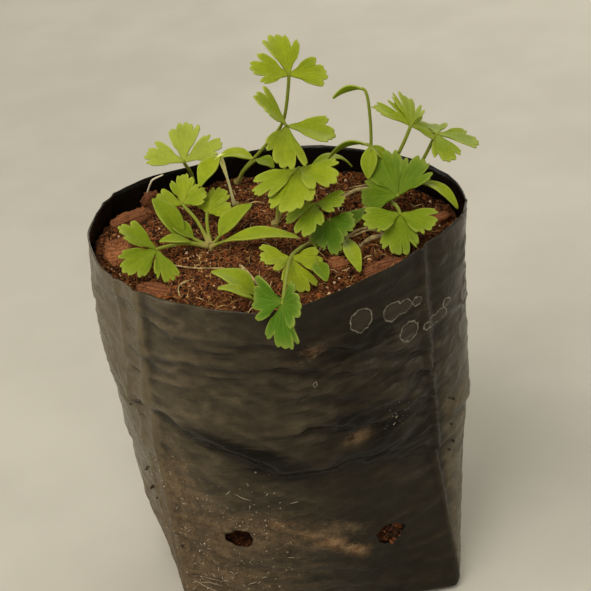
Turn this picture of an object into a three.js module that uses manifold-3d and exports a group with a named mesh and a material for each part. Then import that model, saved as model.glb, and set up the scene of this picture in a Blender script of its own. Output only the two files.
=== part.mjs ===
/*
 * Potted parsley: nine clumps of young parsley seedlings in a black film nursery bag of coir.
 * Millimetres, +Z up. The origin is the centre of the bag's flat bottom, +X is to the right
 * and +Y to the back of the plant as it is seen from its front.
 */
import * as THREE from 'three';
import { mergeVertices } from 'three/addons/utils/BufferGeometryUtils.js';
import Module from 'manifold-3d';

const wasm = await Module();
wasm.setup();

// ---------------------------------------------------------------- driving dimensions
const BAG_HEIGHT = 108;       // a 150 mm bag, filled and standing with its gussets opened
const FILM = 0.8;             // wall of the bag, drawn thicker than the real 0.1 mm film
const BOTTOM_ROUNDING = 3;    // the filled bag curls in round its flat bottom
const WAIST_LEAN = -2;        // the bag's waist sags this far along X, to its left
const GAP = 0.35;             // clearance between pieces that touch
const SNAP = 0.03;            // detail finer than this is smoothed away
const MERGE = 0.001;          // corners closer than this are one corner
const DRAIN = { width: 7.5, height: 6 };
const DRAIN_HOLES = [{ x: -20, z: 33 }, { x: 20.5, z: 26.5 }];
const POCKET = 5;             // the mix has washed out this deep behind the left front hole
const OUTSIDE = 60;           // further from the middle than any wall
const SOIL_TOP = 99.5;        // the mix stands about 8 mm below the rim
const CRUMB = 0.45;           // how far the loose surface of the mix rises and falls
const STALK = 0.6;            // radius of a petiole
const TAPROOT = { radius: 1.0, depth: 14, hole: 1.45 };
const CROWN = 1.5;            // height above the mix at which the petioles part
const BLADE = 0.6;            // thickness of every leaf blade
const HUB = 0.9;              // reach of the joint from which a leaf's three leaflets spread
const KEEL = 0.18;            // how steeply a blade's two halves rise from its midrib
const DROOP = 0.12;           // how far a leaflet's tip bends down, as a share of its length

// Corners and panel middles of the bag's outline, anticlockwise from the front left corner.
const BOTTOM_POSTS = [
  [-36.5, -31.6], [0.5, -32.5], [38, -31.6], [41, 0], [37, 31], [0, 33], [-37, 31], [-41, 0],
];
const MOUTH_POSTS = [
  [-38, -25], [-4, -45], [36, -25.5], [51, 0], [36, 29.5], [-2, 45], [-44, 27], [-50, 4],
];
const PANEL_STEPS = [10, 7, 10, 7];   // points along the front, right, back and left panel
const WALL_LEVELS = [8, 15, 23, 32, 42, 54, 68, 84];
const TOP_RINGS = [0.95, 0.87, 0.78, 0.69, 0.6, 0.51, 0.42, 0.33, 0.24, 0.13];

// Mounds and hollows of the mix: place, height and reach.
const MOUNDS = [
  { x: -42, y: 14, height: 1.6, reach: 9 }, { x: -8, y: -14, height: -3.2, reach: 6 },
  { x: 12, y: 2, height: -1.2, reach: 6 }, { x: 22, y: 26, height: 1.4, reach: 10 },
  { x: 24, y: -18, height: 1.0, reach: 9 }, { x: -24, y: -18, height: 0.8, reach: 9 },
];

// Teeth of half a leaflet: angle from its midrib in degrees and reach as a share of its length.
const TEETH = [
  [0, 1], [5, 0.91], [11, 0.97], [16, 0.79], [22, 0.91], [26, 0.77], [31, 0.77], [35, 0.46],
];
const NOTCHES = [1, 3, 5];            // the teeth's numbers that are cuts between them

// Chips of coconut husk: middle, size, turn in degrees about X, Y and Z.
const CHIPS = [
  { at: [-39.5, 22, 101.5], size: [13, 4.5, 4.5], turn: [10, 6, 38] },
  { at: [-42.5, 4.5, 101], size: [7, 12, 6], turn: [4, -8, 8] },
  { at: [-33.5, 31, 102.5], size: [5.5, 3, 6], turn: [20, 30, 20] },
  { at: [-33.5, -17, 100.4], size: [10, 4.5, 3], turn: [8, 6, -25] },
  { at: [26, -19.6, 100.1], size: [13, 7, 3.6], turn: [-6, 4, 22] },
  { at: [43, 3, 101], size: [5.5, 5, 4.6], turn: [12, 10, 40] },
  { at: [14.6, -15.5, 100.3], size: [4.5, 4.5, 4], turn: [15, 12, 30] },
];

// Dry stalks that lie on the mix.
const DRY_STALKS = [
  [[20.5, -7.5, 100.2], [25, -4.8, 101.3], [29.5, -6.2, 101.4], [31.2, -12.5, 100.6]],
  [[17, 18.5, 100.6], [23, 21.5, 102], [29.5, 22.5, 101.2]],
];

// Clumps of seedlings. A leaf has three toothed leaflets at its joint: heading and rise give
// the way that its middle leaflet points, bank its tilt about that, spread the angle of the
// side leaflets and fold how far they lift; cut deepens its notches and broad widens its
// leaflets. A seed leaf runs from its base to its tip.
const CLUMPS = {
  seedling_left: {
    foot: [-18, 3],
    leaves: [
      { via: [[-21, 11, 104.5]], joint: [-24.5, 18, 106.7],
        heading: 85, rise: 41, bank: -9, length: 9.2, spread: 76, fold: 19 },
      { via: [[-18.3, 9, 104]], joint: [-18, 14, 105.2],
        heading: 40, rise: 36, bank: 6, length: 8.2, spread: 52, fold: 0 },
      { via: [[-25, 0.5, 104]], joint: [-31.8, -4, 105.8],
        heading: 234, rise: 6, bank: -42, length: 13.4, spread: 60, fold: 11 },
    ],
    seedLeaves: [
      { via: [], base: [-25.5, 5, 103], tip: [-32, 12, 112.5], width: 6.6, lift: 1.6, roll: 0 },
      { via: [], base: [-22.5, 5.5, 102.6], tip: [-29.7, 9, 107.2], width: 5.4, lift: 0.8, roll: 0 },
      { via: [], base: [-22.5, 2.5, 102.4], tip: [-31, -0.5, 106], width: 4.6, lift: 1, roll: 0 },
      { via: [], base: [-15.3, 5, 102.4], tip: [-5.7, 12, 107], width: 7, lift: 1.2, roll: 0 },
      { via: [], base: [-14, 1.3, 102.6], tip: [5.6, -7, 105.4], width: 6, lift: 1.6, roll: 0 },
    ],
  },
  seedling_front: {
    foot: [-4, -27],
    leaves: [],
    seedLeaves: [
      { via: [], base: [-7, -28, 102.2], tip: [-17.4, -24, 108.3], width: 7.4, lift: 1.6, roll: 0 },
      { via: [], base: [-7.5, -31, 102.4], tip: [-16, -33.3, 108.8], width: 5, lift: 1, roll: 0 },
    ],
  },
  seedling_back_left: {
    foot: [-21.6, 35.5],
    leaves: [
      { via: [[-21.8, 33, 107.5]], joint: [-23, 28, 114.5],
        heading: 83, rise: 33, bank: -6, length: 13.6, spread: 69, fold: 9 },
    ],
    seedLeaves: [],
  },
  seedling_pale: {
    foot: [-10.4, 25],
    leaves: [],
    seedLeaves: [
      { via: [[-11.5, 23.5, 109]], base: [-12.6, 22, 117.7], tip: [-19, 16, 112.2],
        width: 6, lift: 1.2, roll: 0 },
      { via: [[-11.5, 23.5, 109]], base: [-12.6, 22, 117.7], tip: [-3.8, 20, 116.4],
        width: 6, lift: 1.2, roll: 0 },
    ],
  },
  seedling_tall: {
    foot: [-9.5, 39],
    leaves: [
      { via: [[-7.4, 37, 104.6], [-1.2, 33, 112.5], [4.9, 28, 121.1], [6.8, 25, 127]],
        joint: [8.7, 22, 138.7],
        heading: 96, rise: 39, bank: 25, length: 13.2, spread: 84, fold: 9 },
    ],
    seedLeaves: [
      { via: [[-6.5, 35, 106]], base: [-3, 31, 110.6], tip: [1.4, 27, 109.4],
        width: 4.4, lift: 1, roll: 0 },
    ],
  },
  seedling_middle: {
    foot: [-0.2, 11],
    leaves: [
      { via: [[1.3, 11, 106.2], [5, 13, 118]], joint: [6.4, 12, 128.7],
        heading: 264, rise: -12, bank: -38, length: 15.3, spread: 86, fold: 27 },
    ],
    seedLeaves: [
      { via: [[5, 16, 105.5]], base: [11.6, 22, 110.5], tip: [23, 26, 107.2],
        width: 4.4, lift: 3, roll: 0 },
    ],
  },
  seedling_centre: {
    foot: [9, -1],
    leaves: [
      { via: [[9.5, 2, 110]], joint: [8.1, 5, 119.5],
        heading: 255, rise: -12, bank: 12, length: 16.2, spread: 54, fold: 6 },
      { via: [[11.6, -1.2, 107]], joint: [11.2, -2, 112],
        heading: 251, rise: -14, bank: 22, length: 11, spread: 76, fold: 3 },
      { via: [[12, -2.5, 104.5]], joint: [14.2, -5, 108.4],
        heading: 270, rise: -38, bank: 34, length: 9.4, spread: 60, fold: 0 },
      { via: [[6, -8, 103]], joint: [2.8, -17, 105.4],
        heading: 282, rise: -20, bank: -24, length: 11, spread: 78, fold: 9, broad: 1.15 },
      { via: [[6, -8, 103], [2.8, -17, 105.4], [1.2, -32, 109]], joint: [-0.4, -49.4, 112.1],
        heading: 250, rise: -65, bank: 36, length: 11.2, spread: 92, fold: 17, broad: 1.4 },
    ],
    seedLeaves: [
      { via: [[9.6, -9, 103]], base: [9.2, -17, 102.8], tip: [11, -27, 103],
        width: 4.2, lift: 0.6, roll: 0 },
    ],
  },
  seedling_right: {
    foot: [25, 12],
    leaves: [
      { via: [[29.5, 7, 107]], joint: [33, 0, 110.2],
        heading: 112, rise: 42, bank: -41, length: 13.4, spread: 62, fold: -2 },
      { via: [[29.5, 7, 106], [32, 0, 107.5]], joint: [32.6, -6, 108],
        heading: 261, rise: -25, bank: -8, length: 12.6, spread: 60, fold: 18 },
      { via: [[28, 10.5, 108], [34, 8.5, 117]], joint: [38.4, 6, 127], cut: 2,
        heading: 85, rise: 17, bank: 38, length: 12.9, spread: 57, fold: -9 },
      { via: [[33, 11.5, 107], [40.4, 11, 113]], joint: [45.5, 10, 121.6],
        heading: 9, rise: -18, bank: 6, length: 12.3, spread: 83, fold: -6 },
    ],
    seedLeaves: [
      { via: [[33, 9, 108.5]], base: [39.7, 4, 110.9], tip: [48, -4, 106],
        width: 3.6, lift: 2.4, roll: 0 },
      { via: [[27.1, 12.5, 110], [28.5, 11, 127.4]], base: [27.6, 10, 136.9], tip: [19.3, 14, 133.9],
        width: 2.4, lift: 1.6, roll: 50 },
      { via: [[26.6, 12, 110]], base: [27.9, 11, 120], tip: [16.3, 16, 115.5],
        width: 3, lift: 2.4, roll: 40 },
      { via: [[26.6, 12, 110]], base: [27.9, 11, 120], tip: [25.9, 5, 113.6],
        width: 4.4, lift: 0.6, roll: 0 },
      { via: [[26.6, 12, 110]], base: [27.9, 11, 120], tip: [31.3, 9, 116.4],
        width: 4, lift: 0.6, roll: 0 },
    ],
  },
  seedling_small: {
    foot: [16.5, -2],
    leaves: [],
    seedLeaves: [
      { via: [], base: [18.4, -0.6, 102.6], tip: [24.2, 5, 104.8], width: 4.6, lift: 0.6, roll: 0 },
      { via: [], base: [17.8, -5, 102.1], tip: [19.8, -24, 102.6], width: 4.2, lift: 0.8, roll: 0 },
    ],
  },
};

// ---------------------------------------------------------------- finishes
function finish(color, roughness) {
  return new THREE.MeshStandardMaterial({ color, roughness, metalness: 0 });
}
const BLACK_FILM = finish('#2b2620', 0.38);
const COIR = finish('#6e3a26', 0.95);
const HUSK = finish('#8a4f30', 0.9);
const DRY = finish('#9a8560', 0.85);
const LEAF = finish('#7f9a2c', 0.55);

// ---------------------------------------------------------------- solids
/** A closed solid from a geometry: corners closer than MERGE are one. */
function solidOf(geometry) {
  const bare = geometry.clone();
  bare.deleteAttribute('normal');
  bare.deleteAttribute('uv');
  const merged = mergeVertices(bare, MERGE);
  return new wasm.Manifold(new wasm.Mesh({
    numProp: 3,
    vertProperties: new Float32Array(merged.attributes.position.array),
    triVerts: new Uint32Array(merged.index.array),
  }));
}

function geometryOf(solid) {
  const { vertProperties, triVerts } = solid.getMesh();
  const geometry = new THREE.BufferGeometry();
  geometry.setAttribute('position', new THREE.BufferAttribute(vertProperties, 3));
  geometry.setIndex(new THREE.BufferAttribute(triVerts, 1));
  return geometry;
}

function solidFrom(points, triangles) {
  const geometry = new THREE.BufferGeometry().setFromPoints(points);
  geometry.setIndex(triangles.flat());
  return solidOf(geometry);
}

function fuse(solids) {
  return solids.reduce((whole, solid) => whole.add(solid));
}

/** The largest of a solid's bodies: scraps are dropped, and hollows that it encloses filled. */
function largest(solid) {
  return solid.decompose().reduce((best, body) => (body.volume() > best.volume() ? body : best));
}

/** The named mesh of a solid, with its slivers smoothed out and the pores they leave filled. */
function meshOf(name, solid, material) {
  const smooth = solidOf(geometryOf(solid.simplify(SNAP)));
  const geometry = geometryOf(largest(smooth));
  geometry.computeVertexNormals();
  const mesh = new THREE.Mesh(geometry, material);
  mesh.name = name;
  return mesh;
}

/** Repeatable random numbers from 0 to 1. */
function draws(seed) {
  let state = seed;
  return () => {
    state = (state * 1664525 + 1013904223) % 4294967296;
    return state / 4294967296;
  };
}

const vector = (point) => new THREE.Vector3(...point);

/** Skins rings of equal length, bottom to top, and closes either end with a fan. */
function loft(rings) {
  const count = rings[0].length;
  const points = rings.flat();
  const triangles = [];
  const next = (i) => (i + 1) % count;
  for (let level = 0; level < rings.length - 1; level++) {
    const row = level * count;
    for (let i = 0; i < count; i++) {
      triangles.push([row + i, row + next(i), row + count + next(i)]);
      triangles.push([row + i, row + count + next(i), row + count + i]);
    }
  }
  const top = points.length - count;
  const bottomMiddle = points.push(middleOf(rings[0])) - 1;
  const topMiddle = points.push(middleOf(rings.at(-1))) - 1;
  for (let i = 0; i < count; i++) {
    triangles.push([next(i), i, bottomMiddle], [top + i, top + next(i), topMiddle]);
  }
  return solidFrom(points, triangles);
}

function middleOf(ring) {
  return ring.reduce((sum, p) => sum.add(p), new THREE.Vector3()).divideScalar(ring.length);
}

/** A four-sided stalk of constant radius on a smooth curve through the points. */
function stalk(points, radius = STALK) {
  const section = new THREE.Shape([
    new THREE.Vector2(radius, 0), new THREE.Vector2(0, radius),
    new THREE.Vector2(-radius, 0), new THREE.Vector2(0, -radius),
  ]);
  const steps = Math.max(3, 2 * (points.length - 1));
  const extrudePath = new THREE.CatmullRomCurve3(points);
  return solidOf(new THREE.ExtrudeGeometry(section, { steps, extrudePath }));
}

// ---------------------------------------------------------------- the bag
/** The bag's outline at a height, drawn in by `inset`: each panel bows out between its corners. */
function outline(z, inset) {
  const share = Math.min(z, BAG_HEIGHT) / BAG_HEIGHT;
  const opening = 1 - (1 - share) ** 3;
  const lean = WAIST_LEAN * Math.sin(Math.PI * share);
  const posts = BOTTOM_POSTS.map(([x, y], i) => {
    const mouth = new THREE.Vector2(...MOUTH_POSTS[i]);
    return new THREE.Vector2(x, y).lerp(mouth, opening);
  });
  const ring = PANEL_STEPS.flatMap((steps, panel) => {
    const [from, middle, to] = [0, 1, 2].map((k) => posts[(2 * panel + k) % posts.length]);
    const bow = middle.clone().sub(from.clone().add(to).multiplyScalar(0.5));
    return Array.from({ length: steps }, (_, i) => {
      const along = i / steps;
      return from.clone().lerp(to, along).addScaledVector(bow, 4 * along * (1 - along));
    });
  });
  return ring.map((p, i) => {
    const way = ring[(i + 1) % ring.length].clone().sub(ring.at(i - 1)).normalize();
    return new THREE.Vector3(p.x + lean - way.y * inset, p.y + way.x * inset, z);
  });
}

/** The rings of the bag's form drawn in by `inset`, from its rounded bottom up to `top`. */
function bagRings(inset, top) {
  const rounding = BOTTOM_ROUNDING - inset;
  const curl = (rise) => rounding - Math.sqrt(rounding ** 2 - (rounding - rise) ** 2);
  const foot = [0, 0.35, 1].map((share) => share * rounding);
  return [
    ...foot.map((rise) => outline(inset + rise, inset + curl(rise))),
    ...[...WALL_LEVELS, top].map((z) => outline(z, inset)),
  ];
}

/** A round plug along Y, the shape of a drain hole. */
function drainPlug({ x, z }, from, to) {
  const plug = new THREE.CylinderGeometry(DRAIN.width / 2, DRAIN.width / 2, to - from, 12);
  plug.scale(1, 1, DRAIN.height / DRAIN.width);
  plug.translate(x, (from + to) / 2, z);
  return solidOf(plug);
}

function bag() {
  let film = loft(bagRings(0, BAG_HEIGHT)).subtract(loft(bagRings(FILM, BAG_HEIGHT + FILM)));
  for (const hole of DRAIN_HOLES) film = film.subtract(drainPlug(hole, -OUTSIDE, OUTSIDE));
  return film;
}

// ---------------------------------------------------------------- the potting mix
function soilHeight(x, y) {
  return MOUNDS.reduce((sum, mound) => {
    const away = ((x - mound.x) ** 2 + (y - mound.y) ** 2) / mound.reach ** 2;
    return sum + mound.height * Math.exp(-away);
  }, SOIL_TOP);
}

/** The filled form of the bag up to the mix's uneven, crumbly top. */
function soilBody() {
  const crumb = draws(11);
  const rim = outline(SOIL_TOP, FILM + GAP);
  const middle = middleOf(rim);
  const rings = [1, ...TOP_RINGS].map((share) => rim.map((p) => {
    const { x, y } = middle.clone().lerp(p, share);
    return new THREE.Vector3(x, y, soilHeight(x, y) + CRUMB * (2 * crumb() - 1));
  }));
  return loft([...bagRings(FILM + GAP, SOIL_TOP - 6), ...rings]);
}

/** A husk chip: a rough block with its corners knocked about, grown by `extra` on every side. */
function chip({ at, size, turn }, seed, extra = 0) {
  const knock = draws(seed);
  const block = new THREE.BoxGeometry(1, 1, 1, 2, 2, 2);
  block.deleteAttribute('normal');
  block.deleteAttribute('uv');
  const rough = mergeVertices(block, MERGE);
  const place = rough.attributes.position;
  for (let i = 0; i < place.count; i++) {
    const p = new THREE.Vector3().fromBufferAttribute(place, i);
    p.multiplyScalar(1 / (1 + 0.35 * (p.lengthSq() - 0.25)));
    p.x *= size[0] * (0.88 + 0.24 * knock()) + 2 * extra;
    p.y *= size[1] * (0.88 + 0.24 * knock()) + 2 * extra;
    p.z *= size[2] * (0.88 + 0.24 * knock()) + 2 * extra;
    place.setXYZ(i, p.x, p.y, p.z);
  }
  const [turnX, turnY, turnZ] = turn.map(THREE.MathUtils.degToRad);
  rough.applyMatrix4(new THREE.Matrix4().makeRotationFromEuler(new THREE.Euler(turnX, turnY, turnZ)));
  rough.translate(...at);
  return solidOf(rough);
}

// ---------------------------------------------------------------- leaves
/** Thickens a sheet of points along their own normals: both faces share one pattern. */
function blade(points, normals, triangles, border) {
  const count = points.length;
  const faces = triangles.flatMap(([a, b, c]) => [[a, b, c], [c + count, b + count, a + count]]);
  border.forEach((a, i) => {
    const b = border[(i + 1) % border.length];
    faces.push([b, a, a + count], [b, a + count, b + count]);
  });
  const face = (side) => points.map((p, i) => p.clone().addScaledVector(normals[i], (side * BLADE) / 2));
  return solidFrom([...face(1), ...face(-1)], faces);
}

/** The toothed outline of one leaflet, flat along +X, from its right margin to its left. */
function leafletOutline(length, cut, broad) {
  const half = TEETH.map(([degrees, reach], i) => {
    const depth = NOTCHES.includes(i) ? 1 - (1 - reach) * cut : reach;
    const angle = THREE.MathUtils.degToRad(degrees);
    return [length * depth * Math.cos(angle), length * depth * broad * Math.sin(angle)];
  });
  return [...half.slice(1).reverse().map(([x, y]) => [x, -y]), ...half];
}

/**
 * The points of a leaflet: its two base corners, a ring half way out and its teeth, with the
 * triangles that fan out through them and the border from the right corner to the left one.
 */
function leafletSheet(matrix, length, cut, broad) {
  const rim = leafletOutline(length, cut, broad);
  const ring = rim.filter((_, i) => i % 2 === 0).map(([x, y]) => [0.5 * x + 0.3, 0.5 * y]);
  const bend = ([x, y]) => new THREE.Vector3(x, y, KEEL * Math.abs(y) - (DROOP * x * x) / length);
  const corners = [[HUB, -0.6 * HUB], [HUB, 0.6 * HUB]];
  const points = [...corners, ...ring, ...rim].map(bend).map((p) => p.applyMatrix4(matrix));
  const outer = 2 + ring.length;
  const middle = ring.length / 2;
  const triangles = [[0, 2 + middle, 1]];
  for (let k = 0; k < ring.length - 1; k++) {
    const tooth = outer + 2 * k;
    const corner = k < middle - 0.5 ? 0 : 1;
    triangles.push([corner, 2 + k, 3 + k], [2 + k, tooth, tooth + 1]);
    triangles.push([2 + k, tooth + 1, 3 + k], [3 + k, tooth + 1, tooth + 2]);
  }
  const border = [0, 2, ...rim.map((_, i) => outer + i), outer - 1, 1];
  return { points, triangles, border, normal: new THREE.Vector3(0, 0, 1).transformDirection(matrix) };
}

/** Where a leaf stands and how it is turned: +X along its midrib, +Z out of its face. */
function leafMatrix({ joint, heading, rise, bank }) {
  const [turn, tilt, roll] = [heading, -rise, bank].map(THREE.MathUtils.degToRad);
  const matrix = new THREE.Matrix4().makeRotationFromEuler(new THREE.Euler(roll, tilt, turn, 'ZYX'));
  return matrix.setPosition(...joint);
}

/** Three leaflets round one joint, as a single blade that is cut between them to its joint. */
function threeLeaflets(matrix, { length, spread, fold, cut = 1, broad = 1 }) {
  const points = [new THREE.Vector3().applyMatrix4(matrix)];
  const normals = [new THREE.Vector3(0, 0, 1).transformDirection(matrix)];
  const triangles = [];
  const border = [];
  for (const [side, share] of [[-1, 0.86], [0, 1], [1, 0.86]]) {
    const angles = [0, -fold * Math.abs(side), side * spread].map(THREE.MathUtils.degToRad);
    const turned = new THREE.Matrix4().makeRotationFromEuler(new THREE.Euler(...angles, 'ZYX'));
    const sheet = leafletSheet(matrix.clone().multiply(turned), share * length, cut, broad);
    const start = points.length;
    points.push(...sheet.points);
    normals.push(...sheet.points.map(() => sheet.normal));
    triangles.push(...sheet.triangles.map((corners) => corners.map((c) => c + start)));
    triangles.push([0, start, start + 1]);
    if (side > -1) triangles.push([0, border.at(-1), start]);
    border.push(...sheet.border.map((c) => c + start));
  }
  border.push(0);
  return blade(points, normals, triangles, border);
}

/** A leaf of three leaflets on its petiole. */
function trifoliate(crown, leaf) {
  const matrix = leafMatrix(leaf);
  const end = new THREE.Vector3(HUB / 2, 0, 0).applyMatrix4(matrix);
  const path = [...leaf.via.map(vector), vector(leaf.joint), end];
  return threeLeaflets(matrix, leaf).add(stalk([startOf(crown, path[0]), ...path]));
}

/** Where a petiole leaves the crown: just inside the taproot's top, on the side it makes for. */
function startOf(crown, next) {
  const way = next.clone().sub(crown).setZ(0);
  return crown.clone().addScaledVector(way.normalize(), 0.7 * TAPROOT.radius);
}

/** A smooth seed leaf: it swells from its stalk, arches by `lift` and tapers to its tip. */
function seedLeaf(crown, { via, base, tip, width, lift, roll }) {
  const from = vector(base);
  const ahead = vector(tip).sub(from);
  const left = new THREE.Vector3(-ahead.y, ahead.x, 0).normalize();
  left.applyAxisAngle(ahead.clone().normalize(), THREE.MathUtils.degToRad(roll));
  const up = ahead.clone().cross(left).normalize();
  const stations = [0, 0.2, 0.42, 0.64, 0.84, 1];
  const points = stations.flatMap((s) => {
    const rib = from.clone().addScaledVector(ahead, s).addScaledVector(up, 4 * lift * s * (1 - s));
    const reach = 0.3 + (width / 2 - 0.3) * Math.sin(Math.PI * s ** 0.9);
    const [rightEdge, leftEdge] = [-reach, reach].map((across) => (
      rib.clone().addScaledVector(left, across).addScaledVector(up, KEEL * reach)
    ));
    return [rightEdge, rib, leftEdge];
  });
  const triangles = [];
  for (let row = 0; row < points.length - 3; row += 3) {
    for (const a of [row, row + 1]) triangles.push([a, a + 3, a + 4], [a, a + 4, a + 1]);
  }
  const margin = stations.map((_, i) => 3 * i);
  const border = [...margin, points.length - 2, ...margin.map((i) => i + 2).reverse(), 1];
  const path = [...via.map(vector), from, points[4]];
  const petiole = stalk([startOf(crown, path[0]), ...path]);
  return petiole.add(blade(points, points.map(() => up), triangles, border));
}

/** A clump: a taproot in its hole, and all the leaves that rise from its crown. */
function clump({ foot: [x, y], leaves, seedLeaves }) {
  const ground = soilHeight(x, y);
  const crown = new THREE.Vector3(x, y, ground + CROWN);
  return fuse([
    pin(x, y, ground - TAPROOT.depth, crown.z + STALK / 2, TAPROOT.radius),
    ...leaves.map((leaf) => trifoliate(crown, leaf)),
    ...seedLeaves.map((leaf) => seedLeaf(crown, leaf)),
  ]);
}

/** An upright round pin. */
function pin(x, y, bottom, top, radius) {
  const shaft = new THREE.CylinderGeometry(radius, radius, top - bottom, 8);
  shaft.rotateX(Math.PI / 2);
  shaft.translate(x, y, (bottom + top) / 2);
  return solidOf(shaft);
}

// ---------------------------------------------------------------- the whole plant
function soil(stalks) {
  const [leftHole] = DRAIN_HOLES;
  const front = Math.min(...outline(leftHole.z, 0).map((p) => p.y));
  const hollows = [
    drainPlug(leftHole, -OUTSIDE, front + POCKET),
    ...CHIPS.map((spec, i) => chip(spec, i + 1, GAP)),
    ...stalks.map((points) => stalk(points, STALK + GAP + 0.15)),
    ...Object.values(CLUMPS).map(({ foot: [x, y] }) => {
      const ground = soilHeight(x, y);
      return pin(x, y, ground - TAPROOT.depth - GAP, ground + CROWN, TAPROOT.hole);
    }),
  ];
  return soilBody().subtract(fuse(hollows));
}

const plant = new THREE.Group();
const dryStalks = DRY_STALKS.map((points) => points.map(vector));
const inside = loft(bagRings(FILM + GAP, BAG_HEIGHT));

plant.add(meshOf('bag', bag(), BLACK_FILM));
plant.add(meshOf('soil', soil(dryStalks), COIR));
CHIPS.forEach((spec, i) => {
  plant.add(meshOf(`husk_chip_${i + 1}`, chip(spec, i + 1).intersect(inside), HUSK));
});
dryStalks.forEach((points, i) => plant.add(meshOf(`dry_stalk_${i + 1}`, stalk(points), DRY)));
for (const [name, spec] of Object.entries(CLUMPS)) plant.add(meshOf(name, clump(spec), LEAF));

export default plant;
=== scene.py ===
# %% [markdown]
# # Potted parsley in a black film bag
# This lesson dresses a plain solid model of young parsley plants in a nursery bag. The bag is
# thin polythene with creases, dust and dried water drops. The mix is crumbly coir with husk
# chips, and the leaves are toothed blades with sunken veins on thin stalks. Each surface is a
# formula on a grid of points, so every size in it can be read and changed.

# %% Load the frame
import math
from itertools import product

import bpy
import numpy as np
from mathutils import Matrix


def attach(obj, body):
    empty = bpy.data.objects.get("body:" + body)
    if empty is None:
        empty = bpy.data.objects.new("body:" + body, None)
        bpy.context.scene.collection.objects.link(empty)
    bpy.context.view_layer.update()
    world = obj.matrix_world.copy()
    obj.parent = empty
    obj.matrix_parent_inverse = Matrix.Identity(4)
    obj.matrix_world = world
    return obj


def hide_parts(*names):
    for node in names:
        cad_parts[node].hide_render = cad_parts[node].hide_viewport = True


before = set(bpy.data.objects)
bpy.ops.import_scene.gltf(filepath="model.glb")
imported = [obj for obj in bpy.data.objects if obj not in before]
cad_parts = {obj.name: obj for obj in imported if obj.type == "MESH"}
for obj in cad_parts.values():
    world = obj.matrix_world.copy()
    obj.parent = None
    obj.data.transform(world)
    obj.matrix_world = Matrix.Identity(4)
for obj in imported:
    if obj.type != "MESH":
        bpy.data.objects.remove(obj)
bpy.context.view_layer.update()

MM = 0.001
print("solids in the frame:", len(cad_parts))

# %% [markdown]
# ## The camera and the light
# A camera is best placed first, because the amount of detail that a surface needs depends on
# how large it is in the picture. The view looks down at the plants by 31 degrees with a longish
# lens, and the camera is rolled a little, so the rim of the bag climbs to the right. Wide, soft
# lamps leave only soft shadows, as on an overcast day. One lamp stands behind the plant, because
# thin leaves glow when the light comes through them.

# %% Camera
CAMERA_AIM = np.array([2.8, -6.9, 88.0]) * MM
CAMERA_ELEVATION = math.radians(31)
CAMERA_DISTANCE = 0.44
CAMERA_ROLL = math.radians(7.5)
FOCAL_PIXELS = 1651
PICTURE_PIXELS = 591
SENSOR_WIDTH = 36


def camera_axes(elevation, roll):
    """Right, up and backward of a camera that looks along +Y and down, rolled clockwise."""
    back = np.array([0, -math.cos(elevation), math.sin(elevation)])
    level = np.array([1.0, 0, 0])
    upright = np.cross(back, level)
    right = level * math.cos(roll) - upright * math.sin(roll)
    return right, np.cross(back, right), back


def stand(thing, axes, spot):
    """Puts an object into the scene, turned by three axes and moved to a spot."""
    matrix = np.eye(4)
    matrix[:3, :3] = np.array(axes).T
    matrix[:3, 3] = spot
    thing.matrix_world = matrix.T.tolist()
    bpy.context.scene.collection.objects.link(thing)


def add_camera():
    """Puts the camera at its distance behind the aim point, turned by its three axes."""
    data = bpy.data.cameras.new("camera")
    data.sensor_width = SENSOR_WIDTH
    data.lens = SENSOR_WIDTH * FOCAL_PIXELS / PICTURE_PIXELS
    data.clip_start = 0.01
    camera = bpy.data.objects.new("camera", data)
    axes = camera_axes(CAMERA_ELEVATION, CAMERA_ROLL)
    stand(camera, axes, CAMERA_AIM + axes[2] * CAMERA_DISTANCE)
    bpy.context.scene.camera = camera
    return camera


camera = add_camera()
print("camera at", [round(v, 3) for v in camera.matrix_world.translation])

# %% Lamps and sky
WARM = (1.0, 0.94, 0.79)
SKY_STRENGTH = 0.36
PLANT_MIDDLE = (0.0, 0.0, 0.1)
# Each lamp's place, the point it faces, its width in metres and its power in watts.
LAMPS = {
    "lamp_above": ((-0.25, -0.3, 0.72), PLANT_MIDDLE, 0.5, 3.9),
    "lamp_behind": ((0.3, 0.85, 0.45), PLANT_MIDDLE, 0.5, 3.2),
    "lamp_left": ((-0.9, 0.1, 0.35), PLANT_MIDDLE, 0.5, 2.3),
    "lamp_right": ((0.8, -0.1, 0.3), PLANT_MIDDLE, 0.5, 1.3),
    "lamp_front": ((0.12, -0.9, 0.42), (0.0, -0.04, 0.07), 0.26, 1.75),
}


def add_lamp(name, spot, aim, size, power):
    """A square area lamp at a spot. Its -Z axis points at the aim."""
    data = bpy.data.lights.new(name, "AREA")
    data.size, data.energy, data.color = size, power, WARM
    back = np.subtract(spot, aim)
    back = back / np.linalg.norm(back)
    right = np.cross([0.0, 0.0, 1.0], back)
    right = right / np.linalg.norm(right)
    stand(bpy.data.objects.new(name, data), (right, np.cross(back, right), back), spot)


def add_sky(color, strength):
    """An even pale sky that fills the shadows."""
    world = bpy.data.worlds.new("sky")
    world.use_nodes = True
    background = world.node_tree.nodes["Background"]
    background.inputs["Color"].default_value = (*color, 1)
    background.inputs["Strength"].default_value = strength
    bpy.context.scene.world = world


for name, lamp in LAMPS.items():
    add_lamp(name, *lamp)
add_sky(WARM, SKY_STRENGTH)
bpy.context.scene.view_settings.view_transform = "Standard"
print("lamps:", sum(name in bpy.data.lights for name in LAMPS))

# %% [markdown]
# ## Small tools for the pieces
# Every piece is made the same way: numpy works out all of its points at once, and one call puts
# them into a mesh. Points are written in millimetres, as a maker would measure them, and turned
# to metres on the way in. Attributes carry what changes over a surface, such as how near a vein
# a point lies, so that the shader can colour it.


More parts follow.
